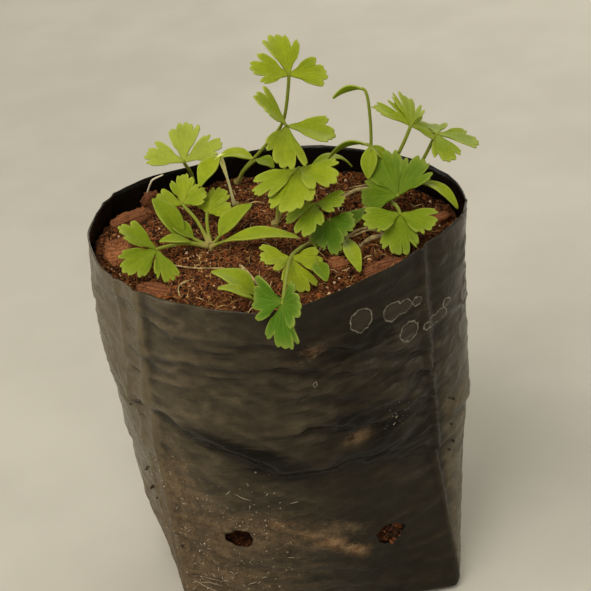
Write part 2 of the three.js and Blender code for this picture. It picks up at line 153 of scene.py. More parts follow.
# %% Points and faces into a piece
def paint(mesh, values):
    """Adds attributes to a mesh: for each label, one number at every point."""
    for label, value in values.items():
        layer = mesh.attributes.new(label, "FLOAT", "POINT")
        layer.data.foreach_set("value", np.asarray(value, np.float32).ravel())


def add_piece(name, points, faces, finish=None, values=None):
    """A smooth-shaded mesh object at the origin, from points in millimetres."""
    mesh = bpy.data.meshes.new(name)
    faces = faces if isinstance(faces, list) else faces.tolist()
    mesh.from_pydata((np.asarray(points, float) * MM).tolist(), [], faces)
    paint(mesh, values or {})
    if finish:
        mesh.materials.append(finish)
    mesh.shade_smooth()
    mesh.update()
    piece = bpy.data.objects.new(name, mesh)
    bpy.context.scene.collection.objects.link(piece)
    return piece


def dress(piece, slot, *nodes):
    """The piece rides on the plant and stands for these solids, which are hidden.
    `slot` is not used.
    """
    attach(piece, "root")
    if nodes:
        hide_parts(*nodes)
    print(f"{piece.name}: {len(piece.data.vertices)} points, {len(piece.data.polygons)} faces")
    return piece


# %% Grids and closed forms
def grid_quads(rows, columns, wrap=False):
    """The four corners of each cell of a grid of points that is stored row by row."""
    cells = columns if wrap else columns - 1
    row, column = np.mgrid[0:rows - 1, 0:cells]
    here, right = row * columns + column, row * columns + (column + 1) % columns
    return np.stack([here, right, right + columns, here + columns], -1).reshape(-1, 4)


def joined(parts):
    """Several (points, quads, values) parts as one: each part's quads are moved past the points
    of the parts before it."""
    starts = np.cumsum([0] + [len(points) for points, *_ in parts[:-1]])
    points = np.concatenate([part[0] for part in parts])
    quads = np.concatenate([part[1] + start for part, start in zip(parts, starts)])
    values = {key: np.concatenate([part[2][key] for part in parts]) for key in parts[0][2]}
    return points, quads, values


def unit(vectors):
    """The same directions with length 1."""
    return vectors / np.maximum(np.linalg.norm(vectors, axis=-1, keepdims=True), 1e-9)


def slope(value, start, end):
    """0 up to `start`, 1 from `end` on and a straight line between them. Where `end` is the
    smaller of the two, it falls instead of rising."""
    return np.clip((value - start) / (end - start), 0, 1)


def grid_normals(grid):
    """Normals of a (rows, columns, 3) grid: along-row times along-column differences."""
    return unit(np.cross(np.gradient(grid, axis=1), np.gradient(grid, axis=0)))


def shell(grid, thickness, values):
    """A sheet given on a grid becomes a closed blade: the grid moved half a thickness to either
    side along its normals, with walls that follow its border. Values are those of the grid."""
    rows, columns, _ = grid.shape
    half = grid_normals(grid) * (thickness / 2)
    count = rows * columns
    index = np.arange(count).reshape(rows, columns)
    border = np.concatenate([index[0, :-1], index[:-1, -1], index[-1, :0:-1], index[:0:-1, 0]])
    after = np.roll(border, -1)
    walls = np.stack([border, after, after + count, border + count], -1)
    face = grid_quads(rows, columns)
    points = np.concatenate([(grid - half).reshape(-1, 3), (grid + half).reshape(-1, 3)])
    quads = np.concatenate([face[:, ::-1], face + count, walls])
    return points, quads, {key: np.tile(value.ravel(), 2) for key, value in values.items()}


print("a grid of 3 by 4 points has", len(grid_quads(3, 4)), "cells")


# %% Repeatable unevenness
def lattice_noise(points, cell, seed=0):
    """Smooth noise from -1 to 1. Each corner of a lattice of cubes `cell` wide has a scrambled
    whole number as its height, and a point blends its cube's eight corners by 3t^2 - 2t^3."""
    scaled = np.asarray(points, float) / cell
    corner = np.floor(scaled).astype(np.int64)
    share = scaled - corner
    share = share * share * (3 - 2 * share)
    total = np.zeros(scaled.shape[:-1])
    for step in product((0, 1), repeat=3):
        at = corner + step
        number = (at[..., 0] * 73856093) ^ (at[..., 1] * 19349663) ^ (at[..., 2] * 83492791)
        number = (number ^ (seed * 2654435761)) & 0xFFFFFFFF
        number = ((number ^ (number >> 15)) * 2246822519) & 0xFFFFFFFF
        number = ((number ^ (number >> 13)) * 3266489917) & 0xFFFFFFFF
        height = ((number ^ (number >> 16)) & 0xFFFF) / 32767.5 - 1
        weight = np.where(np.array(step) == 1, share, 1 - share).prod(-1)
        total += weight * height
    return total


def layered_noise(points, cell, layers, seed=0):
    """Noise on noise: each layer has half the cell and half the height of the one before."""
    return sum(0.5 ** k * lattice_noise(points, cell * 0.5 ** k, seed + k) for k in range(layers))


sample = lattice_noise(np.random.default_rng(1).uniform(0, 50, (2000, 3)), 3)
print("noise runs from", sample.min().round(2), "to", sample.max().round(2))


# %% [markdown]
# ## Small tools for the finishes
# A finish is a tree of nodes, and most nodes only reckon: a zone times a noise, plus a little.
# Written as a list of nodes and links that is hard to read, so a small class lets signals be
# added and multiplied like numbers, and each sign adds its Math node. Object coordinates are
# metres here, so a noise of scale 200 has spots of about 5 mm.

# %% Signals
class Signal:
    """What comes out of a node, to reckon with like a number."""

    def __init__(self, socket):
        self.socket = socket

    def __add__(self, other):
        return maths("ADD", self, other)

    def __sub__(self, other):
        return maths("SUBTRACT", self, other)

    def __rsub__(self, other):
        return maths("SUBTRACT", other, self)

    def __mul__(self, other):
        return maths("MULTIPLY", self, other)

    def __truediv__(self, other):
        return maths("DIVIDE", self, other)

    def __abs__(self):
        return maths("ABSOLUTE", self)

    __radd__, __rmul__ = __add__, __mul__


def connect(source, socket):
    """Links a signal into a socket, or sets the socket to a plain value or colour."""
    if isinstance(source, Signal):
        socket.id_data.links.new(source.socket, socket)
    elif socket.type == "RGBA":
        socket.default_value = (*source, 1)
    else:
        socket.default_value = source


def place(tree, kind, inputs=None, **settings):
    """Adds a node to a tree, sets it up and connects what comes into it."""
    node = tree.nodes.new(kind)
    for key, value in settings.items():
        setattr(node, key, value)
    for socket, source in (inputs or {}).items():
        connect(source, node.inputs[socket])
    return node


def worked_out(kind, inputs, output=0, **settings):
    """One output of a new node, which goes into the tree that its first signal comes from."""
    tree = next(source.socket.id_data for source in inputs.values() if isinstance(source, Signal))
    return Signal(place(tree, kind, inputs, **settings).outputs[output])


def maths(operation, *values):
    """One sum on signals and plain numbers."""
    return worked_out("ShaderNodeMath", dict(enumerate(values)), operation=operation)


def limited(signal):
    """The same sum, kept between 0 and 1 by its own node."""
    signal.socket.node.use_clamp = True
    return signal


def mix(factor, a, b, blend="MIX"):
    """A colour between a and b."""
    return worked_out("ShaderNodeMix", {0: factor, 6: a, 7: b}, 2,
                      data_type="RGBA", blend_type=blend)


def ramp(value, low, high):
    """0 at `low`, 1 at `high`, and a smooth step between them."""
    return worked_out("ShaderNodeMapRange", {"Value": value, "From Min": low, "From Max": high},
                      interpolation_type="SMOOTHSTEP")


def noise(vector, scale, detail=4.0, roughness=0.55):
    """Blender's own noise texture, from 0 to 1."""
    return worked_out("ShaderNodeTexNoise", {
        "Vector": vector, "Scale": scale, "Detail": detail, "Roughness": roughness})


def object_place(tree, stretch=(1, 1, 1), turn=(0, 0, 0)):
    """Object coordinates, stretched and turned."""
    source = Signal(place(tree, "ShaderNodeTexCoord").outputs["Object"])
    return worked_out("ShaderNodeMapping", {"Vector": source, "Scale": stretch, "Rotation": turn})


def painted(tree, *labels):
    """Mesh attributes as signals: a list of them, or a single one for a single label."""
    nodes = [place(tree, "ShaderNodeAttribute", attribute_name=label) for label in labels]
    signals = [Signal(node.outputs["Fac"]) for node in nodes]
    return signals if len(signals) > 1 else signals[0]


# %% The start and the end of a finish
def new_finish(name, roughness, **sockets):
    """A Principled material. Uniform values go on the shader's own sockets."""
    material = bpy.data.materials.new(name)
    material.use_nodes = True
    shader = material.node_tree.nodes["Principled BSDF"]
    shader.inputs["Roughness"].default_value = roughness
    for key, value in sockets.items():
        shader.inputs[key.replace("_", " ")].default_value = value
    return material, material.node_tree, shader


def complete(shader, color, height, strength, distance):
    """The last links of a finish: its colour, and its relief as a bump, `distance` in metres."""
    connect(color, shader.inputs["Base Color"])
    bump = worked_out("ShaderNodeBump", {
        "Height": height, "Strength": strength, "Distance": distance})
    connect(bump, shader.inputs["Normal"])


# %% The mottle group
def new_group(name, inputs, outputs):
    """An empty node group with named sockets, and its two ends."""
    group = bpy.data.node_groups.new(name, "ShaderNodeTree")
    for way, sockets in (("INPUT", inputs), ("OUTPUT", outputs)):
        for label, kind in sockets.items():
            group.interface.new_socket(label, in_out=way, socket_type="NodeSocket" + kind)
    return group, group.nodes.new("NodeGroupInput"), group.nodes.new("NodeGroupOutput")


def make_mottle():
    """Two noises, one four times finer than the other, choose between two colours. Several
    finishes share it, so it is a node group."""
    group, start, end = new_group(
        "mottle", {"Vector": "Vector", "Scale": "Float", "Low": "Color", "High": "Color"},
        {"Color": "Color", "Mask": "Float"})
    vector, scale, low, high = (Signal(socket) for socket in start.outputs[:4])
    mask = ramp(0.65 * noise(vector, scale) + 0.35 * noise(vector, 4 * scale), 0.36, 0.64)
    connect(mask, end.inputs["Mask"])
    connect(mix(mask, low, high), end.inputs["Color"])
    return group


MOTTLE = make_mottle()


def mottle(vector, scale, low, high):
    """The mottle group placed in a finish: its colour and its mask."""
    inputs = {"Vector": vector, "Scale": scale, "Low": low, "High": high}
    node = place(vector.socket.id_data, "ShaderNodeGroup", inputs, node_tree=MOTTLE)
    return Signal(node.outputs["Color"]), Signal(node.outputs["Mask"])


print("nodes in the mottle group:", len(MOTTLE.nodes))

# %% [markdown]
# ## The floor
# A plain pale floor catches the shadow. It is a staged thing, so it isn't part of the plant.

# %% Floor
FLOOR_HALF_WIDTH = 2500
FLOOR_COLORS = (0.47, 0.455, 0.415), (0.52, 0.505, 0.465)


def floor_finish():
    """Warm off-white, broken by a faint mottle."""
    material, tree, shader = new_finish("floor", 0.75)
    color, _ = mottle(object_place(tree), 6, *FLOOR_COLORS)
    connect(color, shader.inputs["Base Color"])
    return material


floor_corners = [[x * FLOOR_HALF_WIDTH, y * FLOOR_HALF_WIDTH, 0]
                 for x, y in ((-1, -1), (1, -1), (1, 1), (-1, 1))]
floor = add_piece("floor", floor_corners, [[0, 1, 2, 3]], floor_finish())
print("floor width:", round(floor.dimensions.x, 2), "m")

# %% [markdown]
# ## The bag's outline
# The bag is a flat tube of film that the mix has opened to four panels between four soft folds.
# At any height its outline is four shallow arcs. Each arc is a quadratic curve: straight between
# two corner posts, plus a bow of 4t(1-t) towards the post in the panel's middle. The posts slide
# from their places at the bottom to those at the mouth, fast at first and then slowly, by
# 1-(1-z)^3, and the whole waist leans a little to the left.

# %% Posts and the outline
BAG_HEIGHT = 108.0
WAIST_LEAN = -2.0
BOTTOM_ROUNDING = 3.0
FILM = 0.4
SOIL_TOP = 99.5
FILM_AND_GAP = 1.15           # the mix stands this far inside the bag's outline
# The x and y of the posts, anticlockwise from the front left: a corner, the middle of a panel,
# a corner and so on.
BOTTOM_POSTS = np.array([
    [-36.5, -31.6], [0.5, -32.5], [38, -31.6], [41, 0], [37, 31], [0, 33], [-37, 31], [-41, 0]])
MOUTH_POSTS = np.array([
    [-38, -25], [-4, -45], [36, -25.5], [51, 0], [36, 29.5], [-2, 45], [-44, 27], [-50, 4]])
AROUND = 340                  # points round the bag


def bag_outline(turn, z):
    """Points of the outline. `turn` counts panels from the front left corner anticlockwise, so
    its whole part names the panel and the rest is t along it."""
    share = np.minimum(z, BAG_HEIGHT) / BAG_HEIGHT
    opening = (1 - (1 - share) ** 3)[..., None]
    panel = np.floor(turn).astype(int) % 4
    t = (turn - np.floor(turn))[..., None]
    start, middle, end = (
        BOTTOM_POSTS[post] * (1 - opening) + MOUTH_POSTS[post] * opening
        for post in ((2 * panel + k) % 8 for k in range(3)))
    flat = start + (end - start) * t + 4 * t * (1 - t) * (middle - (start + end) / 2)
    flat[..., 0] += WAIST_LEAN * np.sin(np.pi * share)
    return flat


def softened(rings, times=3):
    """Rounds the corners: each point moves to the mean of itself and its two neighbours."""
    for _ in range(times):
        rings = (np.roll(rings, 1, 1) + rings + np.roll(rings, -1, 1)) / 3
    return rings


def drawn_in(turn, z, inset):
    """The outline moved inwards by `inset`, as (rows, around, 3) points, and its outward way."""
    flat = softened(bag_outline(turn, z))
    along = unit(np.roll(flat, -1, 1) - np.roll(flat, 1, 1))
    outward = np.stack([along[..., 1], -along[..., 0]], -1)
    moved = flat - outward * inset[..., None]
    level = np.zeros_like(z)[..., None]
    return np.append(moved, z[..., None], -1), np.append(outward, level, -1)


TURNS = np.arange(AROUND) / AROUND * 4
mouth = bag_outline(TURNS[None], np.full((1, AROUND), BAG_HEIGHT))[0]
girth = np.linalg.norm(np.roll(mouth, -1, 0) - mouth, axis=1).sum()
print("the mouth measures", girth.round(0), "mm round")

# %% [markdown]
# ## Creases in the film
# Thin film doesn't stretch, so where the mix pushes unevenly it breaks into folds. Three kinds
# are added up as one height over the outline: soft dents, fine creases that run mostly level,
# and the few folds that anyone would know this bag by, each drawn along a line of its own. The
# same height moves both faces of the film and, further down, the side of the mix that fills it.

# %% The height of the creases
# Lines of the known folds in (turn, z), each with its height in millimetres and the widths above
# and below the line over which it fades. The first three also say how far their step lies above
# the line and how wide it is. The first is the long fold that crosses the front.
FOLDS = [
    ([(-0.03, 70), (0.04, 69.5), (0.12, 67), (0.2, 65), (0.27, 63.5), (0.34, 61), (0.42, 57.5),
      (0.48, 54.9), (0.62, 53.3), (0.74, 51.9), (0.86, 49.3), (0.98, 45)],
     1.9, 10.0, 5.0, 3.0, 2.4),
    ([(0.6, 69.5), (0.7, 67), (0.8, 64.5)], 1.3, 5.0, 4.0, 1.6, 1.6),
    ([(0.7, 56), (0.8, 53), (0.92, 54)], 1.1, 7.0, 3.0, 3.0, 2.0),
    ([(0.42, 98), (0.56, 96.6), (0.71, 92), (0.9, 83), (1.03, 76)], 1.0, 4.0, 2.6),
    ([(0.52, 90), (0.67, 86), (0.83, 81), (0.99, 71.5)], 1.0, 3.5, 2.6),
    ([(0.6, 81), (0.66, 79.2), (0.76, 75), (0.88, 69), (1.0, 63.5)], 0.9, 3.0, 2.2),
    ([(0.8, 71), (0.9, 64.5), (1.0, 58.5)], 0.8, 3.0, 2.2),
    ([(3.97, 103), (4.1, 98.5), (4.3, 95.5)], 0.6, 4.0, 3.0),
    ([(0.05, 88), (0.2, 91), (0.36, 90), (0.5, 91)], 0.5, 4.0, 3.0),
    ([(0.03, 16), (0.08, 15.9), (0.13, 15.5), (0.18, 13.8), (0.23, 11)], 0.9, 2.0, 1.6),
    ([(0.02, 30), (0.2, 24), (0.45, 20)], 0.5, 4.0, 4.0),
    ([(3.72, 99), (3.82, 92), (3.93, 82)], 0.7, 3.0, 4.0),
    ([(3.62, 92), (3.74, 80), (3.9, 66)], 0.7, 4.0, 4.0),
    ([(3.55, 78), (3.7, 66), (3.92, 54)], 0.6, 4.0, 5.0),
    ([(1.1, 84), (1.4, 78), (1.75, 82)], 0.6, 4.0, 4.0),
    ([(1.15, 52), (1.5, 46), (1.9, 52)], 0.8, 6.0, 5.0),
    ([(2.1, 62), (2.4, 68), (2.75, 61)], 1.0, 8.0, 5.0),
    ([(2.05, 34), (2.5, 28), (2.9, 33)], 0.7, 6.0, 5.0),
    ([(3.1, 50), (3.3, 44), (3.6, 48)], 0.8, 6.0, 5.0),
]
# Upright folds at the corners of the flat tube: (turn at the bottom, turn at the mouth, height).
EDGES = [(0.0, 0.02, 0.7), (3.93, 3.9, 0.45), (1.04, 1.0, 0.8), (2.0, 2.0, 0.6), (3.0, 3.0, 0.6)]
EDGE_WIDTH = 1.1
PANEL_WIDTH = 75.0            # millimetres to one unit of turn, near enough for widths
MOST_IN, MOST_OUT = -2.1, 1.9
RUFFLE_ABOVE, RUFFLE_WIDTH = 3.0, 5.5            # of the ruffles along the long fold
UPPER_RIGHT, UPPER_RIGHT_REACH = (0.80, 78), (0.26, 22)      # as turn and height


def line_offset(turn, z, line):
    """How far points lie from a line of (turn, z) points, positive above it and negative below.
    The nearest of the line's straight stretches counts."""
    nearest = np.full(turn.shape, 1e9)
    signed = np.zeros(turn.shape)
    for (turn_a, z_a), (turn_b, z_b) in zip(line[:-1], line[1:]):
        across = ((turn - turn_a + 2) % 4 - 2) * PANEL_WIDTH
        step = (turn_b - turn_a) * PANEL_WIDTH
        rise = z_b - z_a
        t = np.clip((across * step + (z - z_a) * rise) / (step ** 2 + rise ** 2), 0, 1)
        off_x, off_z = across - t * step, z - z_a - t * rise
        distance = np.hypot(off_x, off_z)
        closer = distance < nearest
        nearest = np.where(closer, distance, nearest)
        signed = np.where(closer, np.where(off_z >= 0, distance, -distance), signed)
    return signed


def fold_height(turn, z, line, height, above, below, shift=0.3, step=1.1):
    """A lip over a hollow: out above the line and in below it, each fading with
    exp(-distance/width), with a tanh step between them that is `shift` above the line."""
    signed = line_offset(turn, z, line)
    fade = np.exp(-np.abs(signed) / np.where(signed > 0, above, below))
    return height * np.tanh((signed - shift) / step) * fade


def edge_height(turn, z, at_bottom, at_mouth, height):
    """A narrow ridge along a line from the bottom to the mouth, exp(-(distance/width)^2), with
    a shallow furrow 3 mm beside it."""
    middle = at_bottom + (at_mouth - at_bottom) * z / BAG_HEIGHT
    away = ((turn - middle + 2) % 4 - 2) * PANEL_WIDTH
    ridge, furrow = np.exp(-(away / EDGE_WIDTH) ** 2), np.exp(-((away - 3) / 2.5) ** 2)
    return height * ridge - 0.35 * height * furrow


def ridged(places, cell, power, seed):
    """Ridges along the lines where a noise is zero: (1 - |noise|)^power."""
    return (1 - np.abs(layered_noise(places, cell, 2, seed))) ** power


def crease_height(points, turn, z):
    """All of the relief in millimetres: dents about 24 mm wide, level ridges of a noise that is
    four times finer up and down than along, slanted ridges where those are faint, the folds and
    edges given one by one, and ruffles along the long fold and at the upper right of the front."""
    dents = 0.9 * layered_noise(points, 24, 2, seed=3)
    level = points * np.array([1, 1, 4.0])
    x, y, up = np.moveaxis(points, -1, 0)
    slanted = np.stack([x + y, up * 2.4 + x * 1.6, y], -1)
    patch = np.clip(0.55 + 0.8 * lattice_noise(points, 30, seed=31), 0.1, 1)
    folds = sum(fold_height(turn, z, *fold) for fold in FOLDS)
    edges = sum(edge_height(turn, z, *edge) for edge in EDGES)
    along_fold = line_offset(turn, z, FOLDS[0][0]) - RUFFLE_ABOVE
    along_fold = np.exp(-(along_fold / RUFFLE_WIDTH) ** 2)
    upper_right = np.exp(-(((turn - UPPER_RIGHT[0]) / UPPER_RIGHT_REACH[0]) ** 4
                           + ((z - UPPER_RIGHT[1]) / UPPER_RIGHT_REACH[1]) ** 4))
    relief = (dents + 0.6 * patch * ridged(level, 17, 5, 11)
              + 0.5 * (1 - patch) * ridged(slanted, 14, 6, 23) + folds + edges
              + 0.8 * np.maximum(0.7 * along_fold, upper_right) * ridged(level, 12, 3, 57) - 0.5)
    return slope(z, 0, 6) * np.clip(relief, MOST_IN, MOST_OUT)


def wall_points(turn, z):
    """Points on the outside of the creased film at any turns and heights, and the way out."""
    ahead, behind = bag_outline(turn + 0.01, z), bag_outline(turn - 0.01, z)
    way = unit(ahead - behind)
    outward = np.stack([way[..., 1], -way[..., 0], 0 * way[..., 0]], -1)
    points = np.append(bag_outline(turn, z), z[..., None], -1)
    return points + outward * crease_height(points, turn % 4, z)[..., None], outward


print("folds drawn by hand:", len(FOLDS), "and", len(EDGES), "upright edges")

# %% [markdown]
# ## The film
# The film is one closed skin: up the outside, over the cut rim and down the inside to the
# bottom. Its rows of points carry a height and an inset, and each row is the bag's outline drawn
# in by that much. The two drain holes are then cut with a boolean, because a hole's round edge
# doesn't follow the rows.

# %% Rows and points of the film
WALL_ROWS = 150
INNER_ROWS = 84
INNER_CLEARANCE = 0.3         # the inside stands off this much more where the mix hides it
RIM_BAND = 12                 # how far down from the mouth the rim's waves reach
UNDER_SHARES = 0.02, 0.35, 0.7, 1
DRAIN_HOLES = [(-20.5, 33.3), (19.9, 26.2)]
DRAIN_RADII = [(3.75, 3.4), (3.75, 3.1)]


def film_rows():
    """(height, inset, share of the ring, 1 for the inside) of each row, from the middle of the
    bottom outwards, up, over the rim and down again. The rounding is a quarter circle. Below
    the top of the mix the inside stands off a little more, so it can't break through a crease."""
    under = [(0, BOTTOM_ROUNDING, share, 0) for share in UNDER_SHARES]
    curl = [(BOTTOM_ROUNDING * (1 - math.cos(a)), BOTTOM_ROUNDING * (1 - math.sin(a)), 1, 0)
            for a in np.linspace(0, np.pi / 2, 7)[1:]]
    outer = [(z, 0, 1, 0) for z in np.linspace(BOTTOM_ROUNDING, BAG_HEIGHT, WALL_ROWS)[1:]]
    inner = [(z, FILM + INNER_CLEARANCE * slope(z, SOIL_TOP, SOIL_TOP - 6), 1, 1)
             for z in np.linspace(BAG_HEIGHT, BOTTOM_ROUNDING, INNER_ROWS)]
    lid = [(FILM, BOTTOM_ROUNDING + FILM, share, 1) for share in UNDER_SHARES[::-1]]
    return np.array(under + curl + outer + inner + lid)


def blurred(heights, reach):
    """Each point's mean with its neighbours, up to `reach` rows and columns away."""
    for axis in (0, 1):
        heights = sum(np.roll(heights, k, axis) for k in range(-reach, reach + 1)) / (2 * reach + 1)
    return heights


def shrink(rings, share):
    """Draws each ring of points towards its own middle, in place, to a share of its size."""
    centre = rings.mean(1, keepdims=True)
    rings[..., :2] = (centre + (rings - centre) * share[..., None])[..., :2]


def film_mesh():
    """The rows as rings of points. The rim dips and rises a little on its way round. Slope shading
    is painted light and shade: it is high where the film leans back to face the light or stands
    proud of its surroundings, and low in hollows and under overhangs."""
    height, inset, share, inner = (column[:, None] + np.zeros(AROUND) for column in film_rows().T)
    turn = TURNS + np.zeros_like(height)
    points, outward = drawn_in(turn, height, inset)
    shrink(points, share)
    outside = points + outward * inset[..., None]
    relief = crease_height(outside, turn, height)
    points += outward * relief[..., None]
    climb = np.gradient(height, axis=0)
    lean = np.gradient(relief, axis=0) / np.where(np.abs(climb) < 0.1, 9, climb)
    # Painted light and shade by the slope and depth of the creases.
    ledge = np.clip(0.5 - 0.9 * lean + 1.3 * (relief - blurred(relief, 3)), 0.08, 1)
    rim = slope(height, BAG_HEIGHT - RIM_BAND, BAG_HEIGHT)
    wave = lattice_noise(outside * [1, 1, 0] + [0, 0, 7], 21, seed=5)
    flare = lattice_noise(outside * [1, 1, 0] + [0, 0, 3], 15, seed=8)
    points[..., 2] += rim * (0.9 * wave - 0.3)
    points += outward * (rim * 0.8 * flare)[..., None]
    return points, {"ledge": np.append(ledge.ravel(), [0.5, 0.5]),
                    "inner": np.append(inner.ravel(), [0, 1])}


film_grid, film_values = film_mesh()
print("film grid:", len(film_grid), "rows of", AROUND, "points")


# %% [markdown]
# ## Dust, wear and painted light
# Water that runs out of the drain holes leaves rust-coloured silt round them, and splashes dry as
# pale specks low on the left. A brown haze is painted with sheen where the film would mirror
# its bright surroundings, most of all on the sides and the left, painted shadows lie along the
# long fold, and the upper right stays bare black. So each kind of dirt and of painted light has
# its zone: a number at every point of the film, which the finish then breaks up with noise.

# %% Zones of dust and wear on the film
# Bells of dirt, of painted sheen and of painted shadow: how strong, where the middle is, and how
# far they reach along X, Y, Z.
SPLASHES = [(1, (-15, -38, 37), (15, 14, 6)), (1, (-34, -28, 52), (9, 12, 17)),
            (0.8, (4, -38, 33), (12, 14, 4))]
# Dark patches; the first three are painted shadows beside the folds.
SHADOW_PATCHES = [(1.3, (11.5, -40, 68.5), (6.0, 25, 3.6)), (1.3, (22, -40, 58), (6.5, 25, 6.0)),
                (1.2, (-9, -43, 61), (10, 25, 4.6)), (0.6, (6, -44, 86), (14, 25, 3.0))]
HAZE_AND_SHEEN_PATCHES = [(0.2, (3, -44, 80), (9, 20, 12)), (0.22, (25, -38, 82), (24, 25, 22))]
# The long fold that crosses the front, as x and height, for the painted shadow along it and the
# bare film above it.
FOLD_X = [-39, -30, -25, -20, -15, -9.5, -5, 5.5, 15, 24, 33, 38]
FOLD_Z = [70.3, 67.3, 65, 64.1, 61.8, 58.9, 55.3, 53.3, 51.9, 49.1, 45.1, 42]
ZONE_CEILINGS = {"dust": 1, "haze_and_sheen": 1.6, "bare_and_shadow": 2, "smear": 1}


def near(points, centre, reach):
    """1 at the centre, fading like a bell over `reach` millimetres."""
    return np.exp(-(((points - np.array(centre)) / np.array(reach)) ** 2).sum(-1))


def with_bells(base, points, table):
    """The base plus every bell of a table."""
    return sum((strong * near(points, centre, reach) for strong, centre, reach in table), base)


def film_zones(points):
    """How dusty the film is, how much brown haze and painted sheen it has, where it is bare black
    and where fold shadows are painted on it, and how rusty. Each is a sum of bells and slopes over
    x, y and z."""
    x, y, z = np.moveaxis(points, -1, 0)
    front = slope(y, 0, -25)
    low = slope(z, 62, 20) * slope(x, 18, -24)
    dust = 0.62 * low + 0.54 * with_bells(0, points, SPLASHES) + 0.10 + 0.08 * (y > 0)

    below = np.interp(x, FOLD_X, FOLD_Z) - z
    # Painted shadow: a dark band along the long fold, where the film turns down under its lip.
    shadow_under_fold = (1.35 * np.exp(-((below + 2.2) / 4.4) ** 2) * slope(x, -36, -24)
                  * slope(x, 6, -2))
    above_fold = 0.62 * np.clip(0.5 - below / 3, 0, 1) * slope(x, 2, 12)
    upper_right = 0.95 * near(points, (24, -40, 92), (24, 25, 15))
    bare_and_shadow = front * with_bells(np.maximum(upper_right, above_fold) + shadow_under_fold, points,
                               SHADOW_PATCHES)

    # Painted sheen: the film is lighter on the side panels and towards the left, where it would
    # mirror the bright surroundings.
    right_sheen = slope(x, 36, 38) * slope(y, -29, -24) * (0.2 + 1.1 * slope(z, 80, 55))
    left_sheen = slope(x, -36, -39) * slope(z, 12, 42) * np.maximum(slope(y, 22, 0), 0.25)
    haze_and_sheen = with_bells(0.16 + 0.52 * slope(x, 8, -26) + 0.6 * right_sheen + 1.1 * left_sheen,
                      points, HAZE_AND_SHEEN_PATCHES)

    along = slope(x, -14, 13)
    run = np.exp(-((z - 42.0 + 18.5 * along) / (1.1 + 1.7 * along)) ** 2)
    smear = front * run * slope(x, -15, -9) * slope(x, 15, 11)
    patch = 0.8 * front * near(points, (4, -43, 93), (4, 12, 2.4)) + 0.55 * front * near(
        points, (14, -39, 63), (3.5, 12, 1.6))
    zones = {"dust": dust, "haze_and_sheen": haze_and_sheen, "bare_and_shadow": bare_and_shadow, "smear": smear + patch}
    return {key: np.clip(value, 0, ZONE_CEILINGS[key]).ravel() for key, value in zones.items()}


print("height of the long fold in the middle:", np.interp(0, FOLD_X, FOLD_Z).round(1), "mm")


# %% Finish of the film
FILM_BLACK, INSIDE_BLACK = (0.0050, 0.0038, 0.0024), (0.005, 0.004, 0.003)
HAZE_AND_SHEEN_COLORS = (0.078, 0.061, 0.037), (0.112, 0.089, 0.056)
DUST_COLORS = (0.060, 0.040, 0.021), (0.155, 0.105, 0.060)
RUST_COLORS = (0.115, 0.050, 0.020), (0.30, 0.19, 0.10)
FLECK_COLOR = (0.30, 0.22, 0.135)
DROP_FILL, DROP_RIM = (0.072, 0.058, 0.042), (0.34, 0.31, 0.25)
# Dried drops: (x, z) of the middle in the front view, and the radius, in millimetres. The last
# is only a tiny pale speck.
DROPS = [((18.2, 97.2), 2.9), ((26.5, 95.2), 2.5), ((29.6, 94.6), 1.9), ((33.2, 94.0), 1.3),
         ((30.3, 87.1), 2.5), ((35.4, 85.6), 1.0), ((37.2, 85.2), 1.5), ((39.6, 85.4), 1.7),
         ((41.6, 87.8), 1.2), ((4.7, 83.7), 0.4)]


def drop_marks(spot):
    """Dried drops, as their rim and their inside. Each is a circle, |p-c|-r, and the smallest
    of these over all circles is the edge of their union; noise makes it wobble. A thin band
    round its zero is the pale rim."""
    flat = worked_out("ShaderNodeVectorMath", {0: spot, 1: (1, 0, 1)}, operation="MULTIPLY")
    nearest = 1.0
    for (x, z), radius in DROPS:
        away = worked_out("ShaderNodeVectorMath", {0: flat, 1: (x * MM, 0, z * MM)}, "Value",
                          operation="DISTANCE")
        nearest = maths("MINIMUM", nearest, away - radius * MM)
    signed = nearest + (noise(spot, 480, 4, 0.7) - 0.5) * (2.2 * MM)
    y = worked_out("ShaderNodeSeparateXYZ", {0: spot}, 1)
    front = ramp(-1.0 * y, 0.012, 0.018)
    patchy = front * ramp(noise(spot, 260, 2), 0.12, 0.58)
    return patchy * ramp(abs(signed), 0.22 * MM, 0.02 * MM), front * ramp(signed, 0.0, -0.7 * MM)


